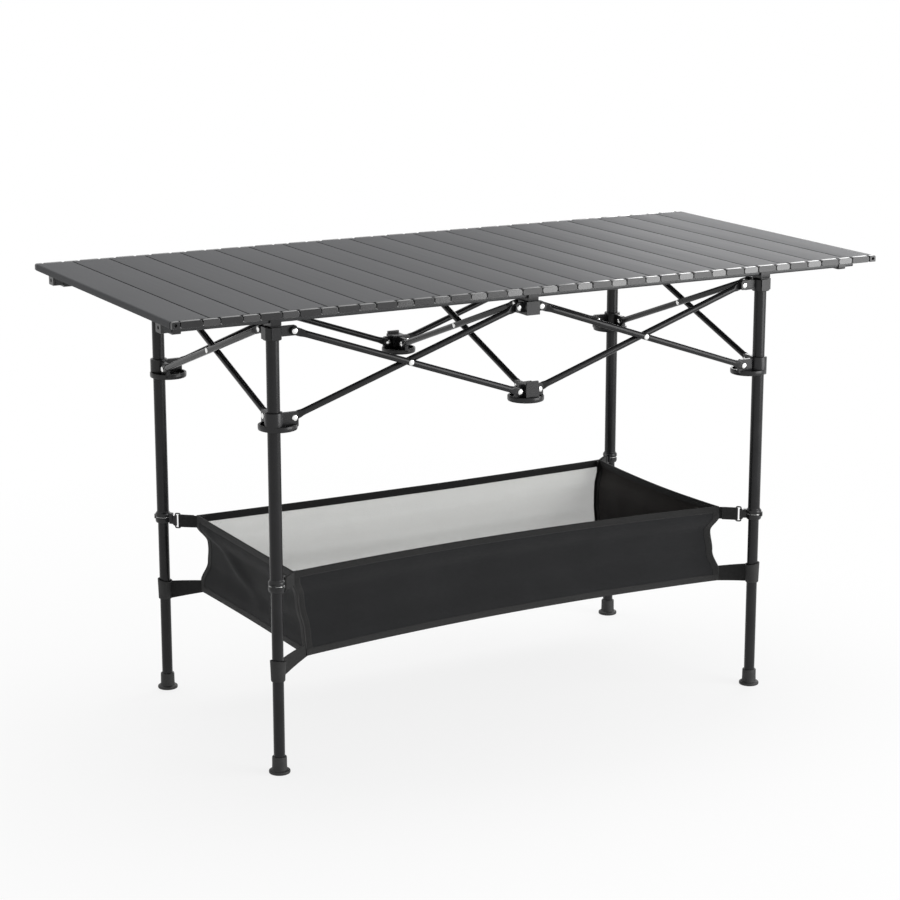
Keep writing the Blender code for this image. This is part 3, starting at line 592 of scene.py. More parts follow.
def lug_parts(direction, reach, pin_z, inner, pin_side, low, high):
    """A lug that a tube's eye is pinned to, its rib, and the parts of the rivet through it."""
    along = Vector((*direction, 0))
    across = Vector((-direction[1], direction[0], 0)) * pin_side
    tip = reach + EYE_R

    def slab(outline, near, far):
        return loft([[along * s + Z * z + across * off for s, z in outline] for off in (near, far)])

    lug = slab(eased(rect(inner, low, tip, high), [0, 0.003, 0.0042, 0], 5), -LUG, LUG)
    rib = slab([(inner, low), (tip - 0.006, low), (inner, low + 0.004)], -LUG - 0.0008, -LUG + 0.0002)
    pin = along * reach + Z * pin_z
    far = TUBE_OFF + EYE_T / 2 + 0.0003
    shaft = rod(pin - across * (LUG + 0.0001), pin + across * (far + 0.0002), RIVET_R)
    near_head = spun(pin - across * LUG, pin - across * (LUG + 0.01), LUG_HEAD)
    far_head = spun(pin + across * far, pin + across * (far + 0.01), LUG_HEAD)
    return lug, rib, [shaft, near_head, far_head]


def saddle_parts():
    """Cradle for the rail, and the post under it."""
    half, inner, outer = 0.0085, 0.0103, 0.0133
    floor, lip = 0.6787, 0.689
    outline = [
        (-outer, floor - 0.0045), (outer, floor - 0.0045), (outer, lip), (inner, lip),
        (inner, floor), (-inner, floor), (-inner, lip), (-outer, lip),
    ]
    outline = eased(outline, [0.002, 0.002, 0.0012, 0.0006, 0.0008, 0.0008, 0.0006, 0.0012], 3)
    post = box((-half + 0.0015, -0.0105, 0.667), (half - 0.0015, 0.0105, floor - 0.002))
    return [bar_x(outline, -half, half), post]


def upper_leg_hub(ports):
    profile = [(0.0123, HUB_LOW), (0.0133, 0.6534), (HUB_R, 0.6545), (HUB_R, 0.6715), (0.0095, HUB_HIGH)]
    body = turned(profile, 56)
    adds = saddle_parts()
    rivets = []
    for (dx, dy), side in ports:
        lug, rib, pins = lug_parts((dx, dy), LEG_REACH, UP_PIN, 0.0095, side, *UP_LUG)
        adds += [lug, rib]
        rivets += pins
        # A flat face on the hub's outer side, opposite the lug
        adds.append(block(Vector((-dx, -dy, 0)), 0.006, 0.0142, 0.0072, 0.0072, 0.6545, 0.6725))
    socket = turned([(0.0099, 0.643), (0.0099, 0.6653)], 56)
    return combine(body, adds, [socket]), merged(rivets)


def lugs(ports, pin_z, span, fits, ribbed):
    """Lugs and rivets of a hub. fits: how far out the pins are and where lugs start, along and across."""
    adds, rivets = [], []
    for direction, side in ports:
        reach, inner = fits[abs(direction[1])]
        lug, rib, pins = lug_parts(direction, reach, pin_z, inner, side, *span)
        adds += [lug, rib] if ribbed[abs(direction[1])] else [lug]
        rivets += pins
    return adds, rivets


def upper_mid_hub(ports):
    x, y = MID_HUB
    adds, rivets = lugs(ports, UP_PIN, UP_LUG, MID_FITS, (False, True))
    body = box((-x, -y, HUB_LOW), (x, y, HUB_HIGH))
    return combine(body, saddle_parts() + adds), merged(rivets)


# Edge of a flange: (distance inside its radius, height)
FLANGE = [
    (0.0022, 0.5190), (0.0006, 0.5196), (0.0, 0.5210), (0.0, 0.5262), (0.0004, 0.5270), (0.0012, 0.5272),
]


def flange(centre, radius):
    """Round plate with a raised lip."""
    plate = turned([(radius - inset, z) for inset, z in FLANGE], 64, centre)
    well = turned([(radius - 0.0042, 0.5240), (radius - 0.0030, 0.5300)], 64, centre)
    return combine(plate, cuts=[well])


def slider(sx, sy, ports):
    body = turned([(HUB_R, SLIDER_LOW), (HUB_R, 0.5462), (0.0131, 0.5471), (0.0124, 0.5475)], 56)
    adds, rivets = lugs(ports, LOW_PIN, LOW_LUG, [(LEG_REACH, 0.0108)] * 2, (True, True))
    plate = flange((-sx * 0.011, -sy * 0.011), 0.0288)
    bore = turned([(0.0099, 0.50), (0.0099, 0.56)], 56)
    return combine(body, [plate] + adds, [bore]), merged(rivets)


def lower_mid_hub(sy, ports):
    x, y = MID_HUB
    body = box((-x, -y, SLIDER_LOW), (x, y, LOW_PIN + 0.0112))
    near, far = sorted((sy * y, sy * y - sy * 0.004))
    plate = box((-0.0100, near, 0.53), (0.0100, far, LOW_PIN + 0.0155))
    adds, rivets = lugs(ports, LOW_PIN, LOW_LUG, MID_FITS, (False, False))
    return combine(body, [flange((0.0, -sy * 0.0085), 0.0280), plate] + adds), merged(rivets)


def place_hub(label, word, name, made, place, body, node):
    shape, rivets = made
    shape = moved(shape, *place)
    piece(f"{label}{word}_{name}", shape, NYLON, body, node=node, bevel=0.0005, slot="hub_plastic")
    piece(f"{label}_rivets_{name}", moved(rivets, *place), STEEL, body)


def ports_for(ways, turn):
    """The ways that tubes leave a hub, each with the side of its lug, 1 or -1, that its tube lies on."""
    return [(way, turn if way[1] else -turn) for way in ways]


def make_hubs():
    for name, (sx, sy) in CORNERS.items():
        ways = ((-sx, 0), (0, -sy))
        place = (sx * LEG_X, sy * LEG_Y)
        upper = upper_leg_hub(ports_for(ways, 1))
        lower = slider(sx, sy, ports_for(ways, -1))
        place_hub("hub_top", "", name, upper, place, f"stand_{name}", f"hub_upper_{name}")
        place_hub("runner", "", name, lower, place, f"runner_{name}", f"slider_{name}")
    for name, sy, body in (("front", -1, "centre"), ("back", 1, "hub_mid_back")):
        ways = ((-1, 0), (1, 0), (0, -sy))
        place = (0, sy * LEG_Y)
        upper = upper_mid_hub(ports_for(ways, 1))
        lower = lower_mid_hub(sy, ports_for(ways, -1))
        place_hub("hub_mid", "_shape", name, upper, place, body, f"hub_upper_mid_{name}")
        place_hub("low_mid", "_shape", name, lower, place, f"lower_mid_{name}", f"hub_lower_mid_{name}")


# Scissor tubes

TUBE_LONG = math.hypot(BAY, UP_PIN - LOW_PIN)
TUBE_FALL = math.atan2(UP_PIN - LOW_PIN, BAY)


def tube_section(s, half_width, half_thick, power):
    """Ring of a tube: an ellipse at power 2, nearer to a rectangle above it."""
    ring = []
    for i in range(28):
        angle = 2 * math.pi * (i + 0.5) / 28
        y, z = (math.copysign(abs(v) ** (2 / power), v) for v in (math.cos(angle), math.sin(angle)))
        ring.append((s, y * half_thick, z * half_width))
    return ring


def tube_shape(riveted):
    """Tube with a flattened eye at each end; riveted tubes carry the rivet of their crossing."""
    flat = EYE_T / 2
    ends = []
    for k in range(9):
        a = math.radians(84 - 84 * k / 8)
        ends.append((-EYE_R * math.sin(a), EYE_R * math.cos(a), flat, 9))
    ends += [(0.007, EYE_R, flat, 8)]
    for k in range(1, 9):
        t = k / 8
        e = smooth(t)
        width, thick = EYE_R + (TUBE_R - EYE_R) * e, flat + (TUBE_R - flat) * e
        ends.append((0.007 + 0.014 * t, width, thick, 8 + (2 - 8) * min(1, e * 1.6)))
    rings = [tube_section(*e) for e in ends]
    rings += [tube_section(TUBE_LONG - e[0], *e[1:]) for e in reversed(ends)]
    places = (0.0, TUBE_LONG) if riveted else (0.0, TUBE_LONG, TUBE_LONG / 2)
    cuts = [rod((x, -0.02, 0), (x, 0.02, 0), 0.0023, 24) for x in places]
    return combine(loft(rings), cuts=cuts, tidy=False)


def cross_rivet():
    far = 3 * TUBE_R + 0.0006
    m = TUBE_LONG / 2
    return merged([
        rod((m, -TUBE_R + 0.0004, 0), (m, far + 0.0002, 0), RIVET_R),
        spun((m, far - 0.0004, 0), (m, far + 0.01, 0), CROSS_HEAD),
        spun((m, -TUBE_R + 0.0005, 0), (m, -TUBE_R - 0.01, 0), CROSS_HEAD),
    ])


# Each bay: where its outer tube starts, the way along it, and the way outwards
BAYS = {
    "front_a": ((-LEG_X + LEG_REACH, -LEG_Y), (1, 0), (0, -1)),
    "front_b": ((MID_REACH, -LEG_Y), (1, 0), (0, -1)),
    "back_a": ((LEG_X - LEG_REACH, LEG_Y), (-1, 0), (0, 1)),
    "back_b": ((-MID_REACH, LEG_Y), (-1, 0), (0, 1)),
    "left": ((-LEG_X, -LEG_Y + LEG_REACH), (0, 1), (-1, 0)),
    "right": ((LEG_X, LEG_Y - LEG_REACH), (0, -1), (1, 0)),
    "middle": ((0.0, -LEG_Y + LEG_REACH), (0, 1), (-1, 0)),
}


def make_tubes():
    shapes = {"outer": tube_shape(True), "inner": tube_shape(False)}
    rivet = cross_rivet()
    for bay, ways in BAYS.items():
        near, run, out = (Vector((*way, 0)) for way in ways)
        far = near + run * BAY
        for name, base, way, offset in (("outer", near, run, out), ("inner", far, -run, -out)):
            pin = base + offset * TUBE_OFF + Z * UP_PIN
            x_axis = way * math.cos(TUBE_FALL) - Z * math.sin(TUBE_FALL)
            y_axis = -offset if name == "outer" else offset
            turn = Matrix((x_axis, y_axis, x_axis.cross(y_axis))).transposed().to_4x4()
            matrix = Matrix.Translation(pin) @ turn
            body = f"{bay}_{name}"
            held = {"node": f"tube_{body}", "slot": "frame_paint", "matrix": matrix}
            piece(f"bar_{body}", shapes[name], POWDER, body, angle=50, **held)
            if name == "outer":
                piece(f"bar_rivet_{bay}", rivet, STEEL, body, matrix=matrix)


# Legs

COLLAR = [
    (0.0089, 0.2800), (0.0104, 0.2800), (0.0112, 0.2803), (0.0118, 0.2815), (0.0122, 0.2832),
    (0.0123, 0.2850), (0.0123, 0.2872), (0.0115, 0.2880), (0.0113, 0.2890), (0.0115, 0.2900),
    (0.0123, 0.2908), (0.0123, 0.2938), (0.0120, 0.2950), (0.0112, 0.2962), (0.0102, 0.2972),
    (0.0098, 0.2982), (0.0089, 0.2982),
]
SPRING_RING = [(0.0110, 0.2886), (0.01145, 0.2888), (0.01155, 0.2890), (0.01145, 0.2892), (0.0110, 0.2894)]
FOOT_PROFILE = [
    (0.0148, 0.0), (0.0157, 0.0005), (0.0160, 0.0015), (0.0160, 0.0034), (0.0156, 0.0044),
    (0.0146, 0.0049), (0.0128, 0.0052), (0.0117, 0.0060), (0.0113, 0.0080), (0.0111, 0.0150),
    (0.0110, 0.0242), (0.0107, 0.0254), (0.0098, 0.0260),
]


def make_legs():
    shapes = (rect(0.0089, 0.2980, 0.0096, 0.6650), rect(0.0073, 0.0052, 0.0085, 0.4300), COLLAR, SPRING_RING)
    tube, inner, collar, ring = (turned(shape, 72, closed=True) for shape in shapes)
    foot = combine(turned(FOOT_PROFILE, 72), cuts=[turned([(0.0069, 0.006), (0.0069, 0.05)])])
    for name, (sx, sy) in CORNERS.items():
        place = (sx * LEG_X, sy * LEG_Y)
        upper, lower = f"stand_{name}", f"foot_{name}"
        inward = Vector((-sx, -sy, 0)).normalized()
        button = block(inward, 0.0102, 0.0165, 0.004, 0.0032, COLLAR_GROOVE - 0.0065, COLLAR_GROOVE + 0.0065)
        tab = block(-inward, 0.0105, 0.0140, 0.0035, 0.0028, COLLAR_GROOVE - 0.0035, COLLAR_GROOVE + 0.0035)
        shape = moved(combine(collar.copy(), [button, tab]), *place)
        outer, rod_in = moved(tube, *place), moved(inner, *place)
        piece(f"leg_tube_{name}", outer, POWDER, upper, node=f"leg_upper_{name}", slot="frame_paint")
        piece(f"leg_collar_{name}", shape, NYLON, upper, bevel=0.0004)
        piece(f"leg_spring_ring_{name}", moved(ring, *place), STEEL, upper)
        piece(f"leg_inner_{name}", rod_in, POWDER, lower, node=f"leg_lower_{name}", slot="frame_paint")
        piece(f"leg_foot_{name}", moved(foot, *place), FOOT, lower, bevel=0.0003)


# Basket: its corners hang between two straps, and the cloth pulls in between them

BASKET_X = LEG_X - 0.044
BASKET_Y = LEG_Y - 0.036
CLOTH_T = 0.0012
NET_T = 0.0004
TAPE_T = 0.0030
FLOOR_V = 0.985
RIM = {"fl": 0.2945, "fr": 0.2975, "bl": 0.2940, "br": 0.2965}
FOOT_Z = {"fl": 0.1605, "fr": 0.1725, "bl": 0.1660, "br": 0.1700}
LOOP_Z = {"fl": 0.1585, "fr": 0.1900, "bl": 0.1680, "br": 0.1760}
STRAP_TALL = {"fl": 0.0190, "fr": 0.0240, "bl": 0.0190, "br": 0.0190}
PULL = {"fl": 0.0095, "fr": 0.0095, "bl": 0.0130, "br": 0.0110}
FOOT_IN = {"fl": 0.0190, "fr": -0.0050, "bl": 0.0040, "br": 0.0030}


def hump(t, power):
    """0 at both ends of the range and 1 in its middle."""
    return math.sin(math.pi * min(1.0, max(0.0, t))) ** power


def corner(name, v):
    """Point on a corner's edge, from the rim at v = 0 to the floor at v = 1."""
    sx, sy = CORNERS[name]
    seed = 3.1 * sx + 5.7 * sy
    waist = smooth((v - 0.13) / 0.20) - smooth((v - 0.60) / 0.26) * 0.92
    pull = PULL[name] * waist + 0.0011 * math.sin(13 * v + seed) * math.sin(math.pi * v)
    z = RIM[name] + (FOOT_Z[name] - RIM[name]) * v
    inset = FOOT_IN[name] * smooth((v - 0.30) / 0.70)
    return Vector((sx * (BASKET_X - pull - inset), sy * (BASKET_Y - pull * 0.9), z))


def crease(u, v, start, stop, width, height):
    """Soft ridge along a line of the panel, strongest near its start."""
    ax, ay = start
    bx, by = stop
    length = math.hypot(bx - ax, by - ay)
    along = ((u - ax) * (bx - ax) + (v - ay) * (by - ay)) / length
    across = ((u - ax) * (by - ay) - (v - ay) * (bx - ax)) / length
    fade = smooth(along / (0.15 * length)) * (1 - smooth((along - 0.35 * length) / (0.65 * length)))
    return height * fade * math.exp(-(across / width) ** 2)


# Each wall: its corners, the way inwards, its bow, its folds and its creases.
# Bow: inwards at the rim and at the floor, rise of the rim, sag of the floor.
# Folds: how many along and down, seed, height. Crease: start, stop, width, height.
WALLS = {
    "front": (
        "fl", "fr", Vector((0, 1, 0)), (0.026, 0.020, 0.000, -0.002), (5.0, 1.2, 1.0, 0.0044),
        [
            ((0.98, 0.05), (0.62, 0.75), 0.10, 0.0056),
            ((0.02, 0.10), (0.35, 0.85), 0.10, 0.0042),
            ((0.99, 0.62), (0.80, 0.45), 0.05, 0.0030),
        ],
    ),
    "back": ("br", "bl", Vector((0, -1, 0)), (0.004, 0.010, -0.001, 0.002), (4.0, 1.2, 4.0, 0.0026), []),
    "left": (
        "bl", "fl", Vector((1, 0, 0)), (0.004, 0.004, -0.003, 0.001), (3.0, 1.4, 7.0, 0.0030),
        [((0.03, 0.06), (0.66, 0.90), 0.060, 0.0062), ((0.97, 0.12), (0.70, 0.70), 0.08, 0.0036)],
    ),
    "right": (
        "fr", "br", Vector((-1, 0, 0)), (0.004, 0.004, -0.003, 0.006), (3.0, 1.4, 11.0, 0.0030),
        [((0.04, 0.10), (0.60, 0.80), 0.10, 0.0050)],
    ),
}
WALL_BODY = {"front": "centre", "back": "hub_mid_back", "left": "stand_fl", "right": "stand_fr"}


def wall_point(name, u, v):
    """Middle of a wall's cloth: between two corner edges, bowed inwards, with soft folds."""
    a, b, inward, bow, (along, down, seed, high), creases = WALLS[name]
    point = corner(a, v).lerp(corner(b, v), u)
    arch = hump(u, 0.85)
    edge = hump(u, 0.5) * hump(v, 0.6)
    point += inward * ((bow[0] + (bow[1] - bow[0]) * v) * arch)
    point.z += bow[2] * arch * (1 - v) - bow[3] * arch * v
    ripple = noise.noise(Vector((u * along, v * down, seed))) * high
    ripple += noise.noise(Vector((u * along * 2.7, v * down * 2.1, seed + 9))) * high * 0.45
    for line in creases:
        ripple -= crease(u, v, *line)
    return point + inward * (ripple * edge)


def panel(surface, width, height, columns, rows, span, thick=CLOTH_T):
    """Thin closed cloth panel on a surface, with its UV map in metres."""
    (u0, u1), (v0, v1) = span

    def at(i, j):
        return u0 + (u1 - u0) * i / columns, v0 + (v1 - v0) * j / rows

    grid = [[surface(*at(i, j)) for i in range(columns + 1)] for j in range(rows + 1)]
    bm = bmesh.new()
    uv = bm.loops.layers.uv.new("cloth")
    place = {}
    sheets = []
    for side in (-0.5, 0.5):
        sheet = []
        for j in range(rows + 1):
            line = []
            for i in range(columns + 1):
                du = grid[j][min(i + 1, columns)] - grid[j][max(i - 1, 0)]
                dv = grid[min(j + 1, rows)][i] - grid[max(j - 1, 0)][i]
                normal = du.cross(dv).normalized()
                line.append(bm.verts.new(grid[j][i] + normal * (side * thick)))
                u, v = at(i, j)
                place[line[-1]] = (u * width, v * height)
            sheet.append(line)
        sheets.append(sheet)
    back, front = sheets
    for j in range(rows):
        for i in range(columns):
            bm.faces.new((back[j][i], back[j + 1][i], back[j + 1][i + 1], back[j][i + 1]))
            face = bm.faces.new((front[j][i], front[j][i + 1], front[j + 1][i + 1], front[j + 1][i]))
            face.material_index = 1
    border = [(0, i) for i in range(columns)] + [(j, columns) for j in range(rows)]
    border += [(rows, i) for i in range(columns, 0, -1)] + [(j, 0) for j in range(rows, 0, -1)]
    for (j, i), (m, k) in zip(border, border[1:] + border[:1]):
        bm.faces.new((back[j][i], back[m][k], front[m][k], front[j][i]))
    for face in bm.faces:
        for loop in face.loops:
            loop[uv].uv = place[loop.vert]
    return to_mesh(bm, "panel")


def strip(path, rows, heights):
    """Closed strip with a row of section points for each point of its path. UV in metres, v across."""
    runs = [0.0]
    for before, after in zip(path, path[1:]):
        runs.append(runs[-1] + (after - before).length)
    return loft(rows, uvs=[[(run, v) for v in line] for run, line in zip(runs, heights)])


def heading(path, k):
    return (path[min(k + 1, len(path) - 1)] - path[max(k - 1, 0)]).normalized()


def band(path, ups, width, thick):
    """Tape along a path, its width in the direction that ups gives at each point."""
    shape = eased(rect(-thick / 2, -width / 2, thick / 2, width / 2), thick * 0.5, 3)
    rows = []
    for k, point in enumerate(path):
        along = heading(path, k)
        high = (ups[k] - along * ups[k].dot(along)).normalized()
        across = along.cross(high)
        rows.append([point + across * a + high * b for a, b in shape])
    return strip(path, rows, [[b + width / 2 for a, b in shape]] * len(path))


def wrap(route, thick):
    """Upright webbing along a route of (point, low, high)."""
    path = [stop[0] for stop in route]
    rows, heights = [], []
    for k, (point, low, high) in enumerate(route):
        out = heading(path, k).cross(Z).normalized() * (thick / 2)
        near, far = point + out, point - out
        rows.append([near + Z * low, near + Z * high, far + Z * high, far + Z * low])
        heights.append([0.0, high - low, high - low, 0.0])
    return strip(path, rows, heights)


def flat_size(surface, across=(0.0, 1.0), along=(0.0, 1.0)):
    """Width and height that a panel was cut to, measured through its middle."""
    steps = 60
    mid_u, mid_v = sum(across) / 2, sum(along) / 2
    level = [surface(across[0] + (across[1] - across[0]) * k / steps, mid_v) for k in range(steps + 1)]
    upright = [surface(mid_u, along[0] + (along[1] - along[0]) * k / steps) for k in range(steps + 1)]
    return tuple(sum((a - b).length for a, b in zip(line, line[1:])) for line in (level, upright))


def fold_with(obj, name):
    """Gives the piece a mesh of its own."""
    if name in ("front", "back"):
        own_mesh(obj)
    else:
        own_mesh(obj)


def make_wall(name):
    """A wall, the tapes at its rim and foot, and its end bindings. The back wall is net."""
    net = name == "back"

    def surface(u, v):
        return wall_point(name, u, v)

    def trim(label, points, du, dv, tall, thick, material):
        path = [surface(u, v) for u, v in points]
        ups = [surface(u + du, v + dv) - surface(u - du, v - dv) for u, v in points]
        mesh = band(path, ups, tall, thick)
        return piece(f"basket_{label}", mesh, material, WALL_BODY[name], slot="basket_cloth", angle=60)

    width, height = flat_size(surface)
    columns = 96 if name in ("front", "back") else 56
    side, foot = (0.003, 0.012) if net else (0.0, 0.0)
    span = ((side / width, 1 - side / width), (foot / height, 1 - foot / height))
    mesh = panel(surface, width, height, columns, 30, span, NET_T if net else CLOTH_T)
    faces = [NET, NET] if net else [CLOTH, LINING]
    body = WALL_BODY[name]
    sheet = piece(f"basket_wall_{name}", mesh, faces, body, node="basket", slot="basket_cloth", angle=60)
    extras = []
    rim, hem = ((0.050, 0.0125), (0.945, 0.014)) if net else ((0.040, 0.0105), (0.955, 0.0100))
    for label, (v, tall), material in (("rim", rim, TAPE), ("floor_hem", hem, HEM)):
        points = [(k / columns, v) for k in range(columns + 1)]
        extras.append(trim(f"{label}_{name}", points, 0.0, -0.03, tall, TAPE_T, material))
    wide = 0.005 if net else 0.011
    reach = 0.5 * wide / width
    for label, u in (("start", reach), ("end", 1 - reach)):
        points = [(u, 0.015 + 0.97 * k / 40) for k in range(41)]
        extras.append(trim(f"binding_{name}_{label}", points, 0.01, 0.0, wide, 0.0026, TAPE))
    for obj in [sheet] + extras:
        fold_with(obj, name)


def make_piping(name):
    """Corded seam where two walls meet."""
    rings = []
    count = 48
    for k in range(count + 1):
        centre = corner(name, 0.01 + 0.975 * k / count)
        radius = 0.0019 * min(1.0, 6 * (k + 0.8) / count, 6 * (count - k + 0.8) / count)
        rings.append([centre + Vector((radius * x, radius * y, 0)) for x, y in circle(1.0, 14)])
    piece(f"basket_piping_{name}", loft(rings), TAPE_ROUND, f"stand_{name}", slot="basket_cloth")


def floor_point(u, v):
    """Floor of the basket: it meets the feet of the four walls and sags a little in the middle."""
    front, back = wall_point("front", u, FLOOR_V), wall_point("back", 1 - u, FLOOR_V)
    left, right = wall_point("left", 1 - v, FLOOR_V), wall_point("right", v, FLOOR_V)
    low = corner("fl", FLOOR_V).lerp(corner("fr", FLOOR_V), u)
    high = corner("bl", FLOOR_V).lerp(corner("br", FLOOR_V), u)
    point = front.lerp(back, v) + left.lerp(right, u) - low.lerp(high, v)
    rise = 0.0022 * noise.noise(Vector((u * 4, v * 3, 21)))
    point.z -= (0.0035 + rise) * math.sin(math.pi * u) * math.sin(math.pi * v)
    return point


def make_basket_floor():
    """Front and back parts, and a strip over their gap in two halves, which overlap as the frame folds."""
    for name, across, along, lift in (
        ("front", (0.0, 1.0), (0.0, 0.44), 0.0),
        ("back", (0.0, 1.0), (0.56, 1.0), 0.0),
        ("left", (0.0, 0.51), (0.42, 0.58), 0.0016),
        ("right", (0.49, 1.0), (0.42, 0.58), 0.0032),
    ):
        def surface(u, v):
            return floor_point(u, v) + Z * lift

        columns = round(64 * (across[1] - across[0]))
        mesh = panel(surface, 2 * BASKET_X, 2 * BASKET_Y, columns, 22, (across, along))
        faces = [CLOTH, LINING]
        sheet = piece(f"basket_floor_{name}", mesh, faces, WALL_BODY[name], slot="basket_cloth", angle=60)
        fold_with(sheet, name)
        flat_size(floor_point, across, along)


# Straps and buckles

RING_AT = 0.0325
RING_HALF = 0.0038
RING_TALL = 0.0235
WIRE = 0.0012
STRAP_HALF = 0.0098
LOOP_R = 0.0090
# Section of the loop round a leg: (thickness beyond its bore, height)
LOOP_SECTION = [
    (0.0, -0.0150), (0.0013, -0.0153), (0.0017, -0.0140), (0.0021, 0.0), (0.0029, 0.0140),
    (0.0030, 0.0150), (0.0024, 0.0154), (0.0008, 0.0150), (0.0, 0.0100),
]


def ring_shape(width, height, radius):
    """Rectangular wire ring with round corners, in its own x-z plane."""
    path = eased(rect(-width / 2, -height / 2, width / 2, height / 2), 0.0022, 5)
    rows = []
    for i, (x, z) in enumerate(path):
        before, after = Vector(path[i - 1]), Vector(path[(i + 1) % len(path)])
        along = (after - before).normalized()
        out = Vector((along.y, 0, -along.x))
        rows.append([Vector((x, 0, z)) + out * a + Vector((0, b, 0)) for a, b in circle(radius, 14)])
    return loft(rows, closed=True)


def make_upper_strap(name, tie, leg, away, side):
    """A strap with its ring buckle, and the tab that joins the ring to the collar."""
    body = f"stand_{name}"
    z = RIM[name] - 0.0108
    low, high = z - STRAP_HALF, z + STRAP_HALF
    ring = ring_shape(2 * RING_HALF, RING_TALL, WIRE)
    turn = Matrix((away, side, Z)).transposed().to_4x4()
    ring.transform(Matrix.Translation(tie + away * RING_AT + Z * z) @ turn)
    piece(f"basket_ring_{name}", ring, BUCKLE, body)
    # The strap runs out to the ring's near bar, round it and back
    bar = RING_AT - RING_HALF
    gap = WIRE + 0.0010
    plan = [(s, gap * smooth((s + 0.012) / 0.03)) for s in (-0.012, -0.004, 0.004, 0.010, bar - 0.004)]
    for k in range(9):
        a = math.pi * (0.5 - k / 8)
        plan.append((bar + gap * math.cos(a), gap * math.sin(a)))
    plan += [(s, -gap * 0.9) for s in (bar - 0.004, 0.012, 0.006)]
    route = [(tie + away * s + side * t, low, high) for s, t in plan]
    strap = wrap(route, 0.0014)
    piece(f"basket_upper_strap_{name}", strap, WEBBING, body, bevel=0.0003, slot="basket_cloth")
    # The tab's ends: distance from the leg, half width, half height
    far = RING_AT + RING_HALF
    gone = (leg - tie).length - far
    ends = (
        (0.0108, 0.0036, 0.0052), (0.0165, 0.0030, 0.0056),
        (gone - 0.0022, 0.0026, 0.0082), (gone + 0.0022, 0.0024, 0.0086),
    )
    tab = loft([
        [leg - away * d + side * w + Z * (z + h) for w, h in rect(-t, -k, t, k)]
        for d, t, k in ends
    ])
    bar_at = tie + away * far
    bar_hole = rod(bar_at + Z * (z - 0.02), bar_at + Z * (z + 0.02), WIRE + 0.00025, 20)
    piece(f"basket_tab_{name}", combine(tab, cuts=[bar_hole]), NYLON, body, bevel=0.0006)


def make_lower_strap(name, leg, away, side):
    """A strap that widens from the basket's foot to a loop round the leg."""
    body = f"stand_{name}"
    low_z, foot = LOOP_Z[name], FOOT_Z[name]
    at_foot = corner(name, 0.93)
    start = Vector((at_foot.x, at_foot.y, 0)) - away * 0.004
    stop = leg - away * (LOOP_R + 0.0012)
    route = []
    for k in range(9):
        t = k / 8
        sway = 0.0012 * math.sin(math.pi * t) * CORNERS[name][0]
        low = (foot - 0.0005) * (1 - t) + (low_z - 0.0150) * t
        high = (foot + STRAP_TALL[name]) * (1 - t) + (low_z + 0.0140) * t
        route.append((start.lerp(stop, t) + side * sway, low, high))
    strap = wrap(route, 0.0018)
    piece(f"basket_lower_strap_{name}", strap, WEBBING, body, bevel=0.0003, slot="basket_cloth")
    loop = []
    turn = math.atan2(away.y, away.x)
    for more, up in LOOP_SECTION:
        ring = []
        for x, y in circle(1.0, 64):
            tilt = 0.0022 * (up > 0.005) * math.cos(math.atan2(y, x) - turn)
            shift = away.x * 0.0004 * (up > 0)
            ring.append((leg.x + (LOOP_R + more) * x - shift, leg.y + (LOOP_R + more) * y, low_z + up + tilt))
        loop.append(ring)
    piece(f"basket_loop_{name}", loft(loop, closed=True), WEBBING_ROUND, body, slot="basket_cloth")


def make_basket():
    for name in WALLS:
        make_wall(name)
    make_basket_floor()
    for name, (sx, sy) in CORNERS.items():
        make_piping(name)
        leg = Vector((sx * LEG_X, sy * LEG_Y, 0))
        tie = Vector((sx * BASKET_X, sy * BASKET_Y, 0))
        away = (leg - tie).normalized()
        side = Vector((-away.y, away.x, 0))
        make_upper_strap(name, tie, leg, away, side)
        make_lower_strap(name, leg, away, side)


make_top()
make_rails()
make_hubs()
make_tubes()
make_legs()
make_basket()


# Floor, lights and camera

def area(name, place, target, size, power):
    data = bpy.data.lights.new(name, "AREA")
    data.shape = "RECTANGLE"
    data.size, data.size_y = size
    data.energy = power
    lamp = show(bpy.data.objects.new(name, data))
    lamp.location = place
    lamp.rotation_euler = (Vector(target) - Vector(place)).to_track_quat("-Z", "Y").to_euler()


def background_ray(tree):
    """1 where the camera, a reflection or a clear material looks at the surroundings."""
    path = tree.nodes.new("ShaderNodeLightPath")
    seen = path.outputs["Is Camera Ray"]
    for name in ("Is Glossy Ray", "Is Transmission Ray"):
        either = tree.nodes.new("ShaderNodeMath")
        either.operation = "MAXIMUM"
        tree.links.new(seen, either.inputs[0])
        tree.links.new(path.outputs[name], either.inputs[1])
        seen = either.outputs[0]
    return seen


def blend_out(tree, weight, first, second, out):
    mix = tree.nodes.new("ShaderNodeMixShader")
    for socket, source in zip(mix.inputs, (weight, first, second)):
        tree.links.new(source, socket)
    tree.links.new(mix.outputs[0], out.inputs["Surface"])


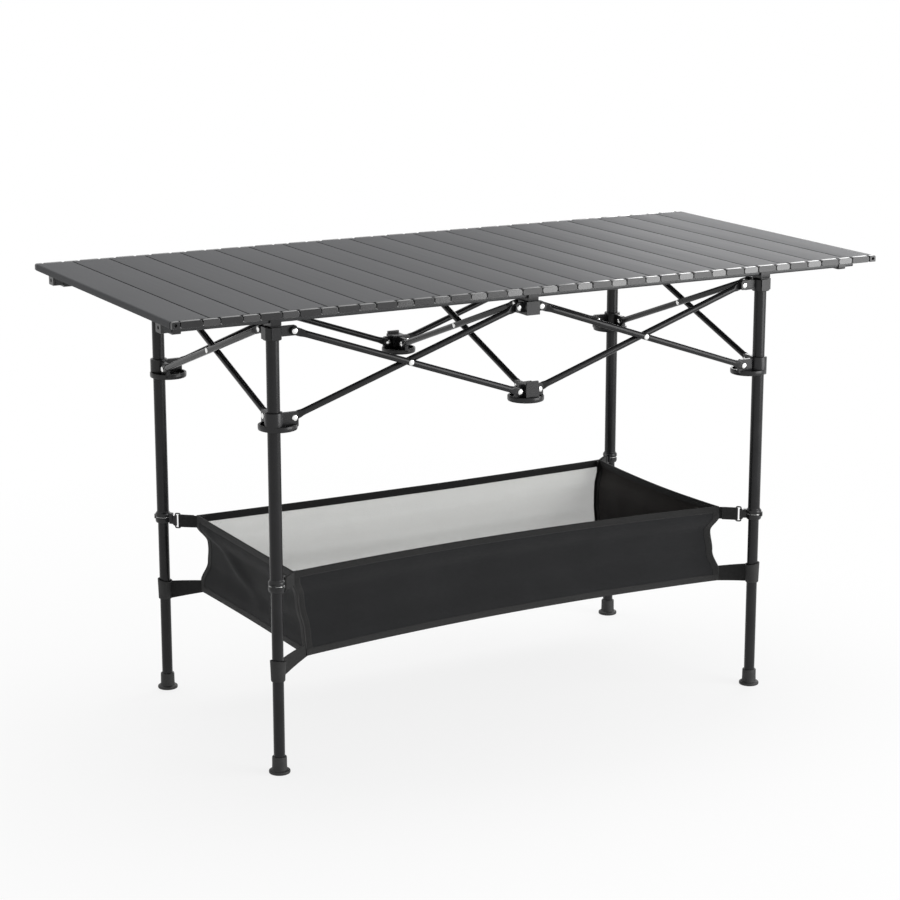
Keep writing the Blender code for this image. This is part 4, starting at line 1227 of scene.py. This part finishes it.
def make_floor():
    """Pale floor that keeps a soft shadow under the table and turns plain white further out."""
    mesh = bpy.data.meshes.new("floor")
    mesh.from_pydata([(x, y, 0) for x, y in rect(-14, -14, 14, 14)], [], [(0, 1, 2, 3)])
    obj = show(bpy.data.objects.new("floor", mesh))
    obj.location = (0, 0, -0.0002)
    n = Nodes("floor_white")
    for key, value in (("Base Color", (0.80, 0.80, 0.80)), ("Roughness", 0.9), ("Specular IOR Level", 0.0)):
        n.put(n.shader.inputs[key], value)
    white = n.add("ShaderNodeEmission", Color=(1, 1, 1), Strength=1.0)
    away = n.add("ShaderNodeTexGradient", Vector=n.scaled((0.50, 0.62, 1.0)), gradient_type="SPHERICAL")
    whiteness = n.ramp(away.outputs["Fac"], 1.0, 0.82, 0.0, 0.75)
    weight = n.math("MULTIPLY", whiteness, background_ray(n.tree))
    blend_out(n.tree, weight, n.shader.outputs[0], white.outputs[0], n.tree.nodes["Material Output"])
    mesh.materials.append(n.material)


def make_world():
    """Even white light at a low level, seen as plain white."""
    world = bpy.data.worlds.new("studio")
    bpy.context.scene.world = world
    world.use_nodes = True
    tree = world.node_tree
    back = tree.nodes["Background"]
    seen = tree.nodes.new("ShaderNodeBackground")
    for node, strength in ((back, AMBIENT), (seen, 1.0)):
        node.inputs["Color"].default_value = (1, 1, 1, 1)
        node.inputs["Strength"].default_value = strength
    blend_out(tree, background_ray(tree), back.outputs[0], seen.outputs[0], tree.nodes["World Output"])


make_floor()
make_world()
area("key_right", (1.75, -2.00, 0.96), (0.0, 0, 0.75), (1.7, 1.8), 50)
area("top_soft", (0.4, 0.8, 3.2), (0, 0, 0.6), (3.0, 2.4), 70)
area("back_right", (3.55, 2.80, 1.6), (0.2, 0, 0.6), (2.8, 2.0), 46)

camera = show(bpy.data.objects.new("camera", bpy.data.cameras.new("camera")))
camera.data.sensor_width = 36.0
camera.data.lens = 99.593
camera.location = (-1.856, -3.391, 1.338)
camera.rotation_euler = (math.pi / 2 - 0.239, 0.0, -0.497)
bpy.context.scene.camera = camera
bpy.context.scene.view_settings.view_transform = "Standard"
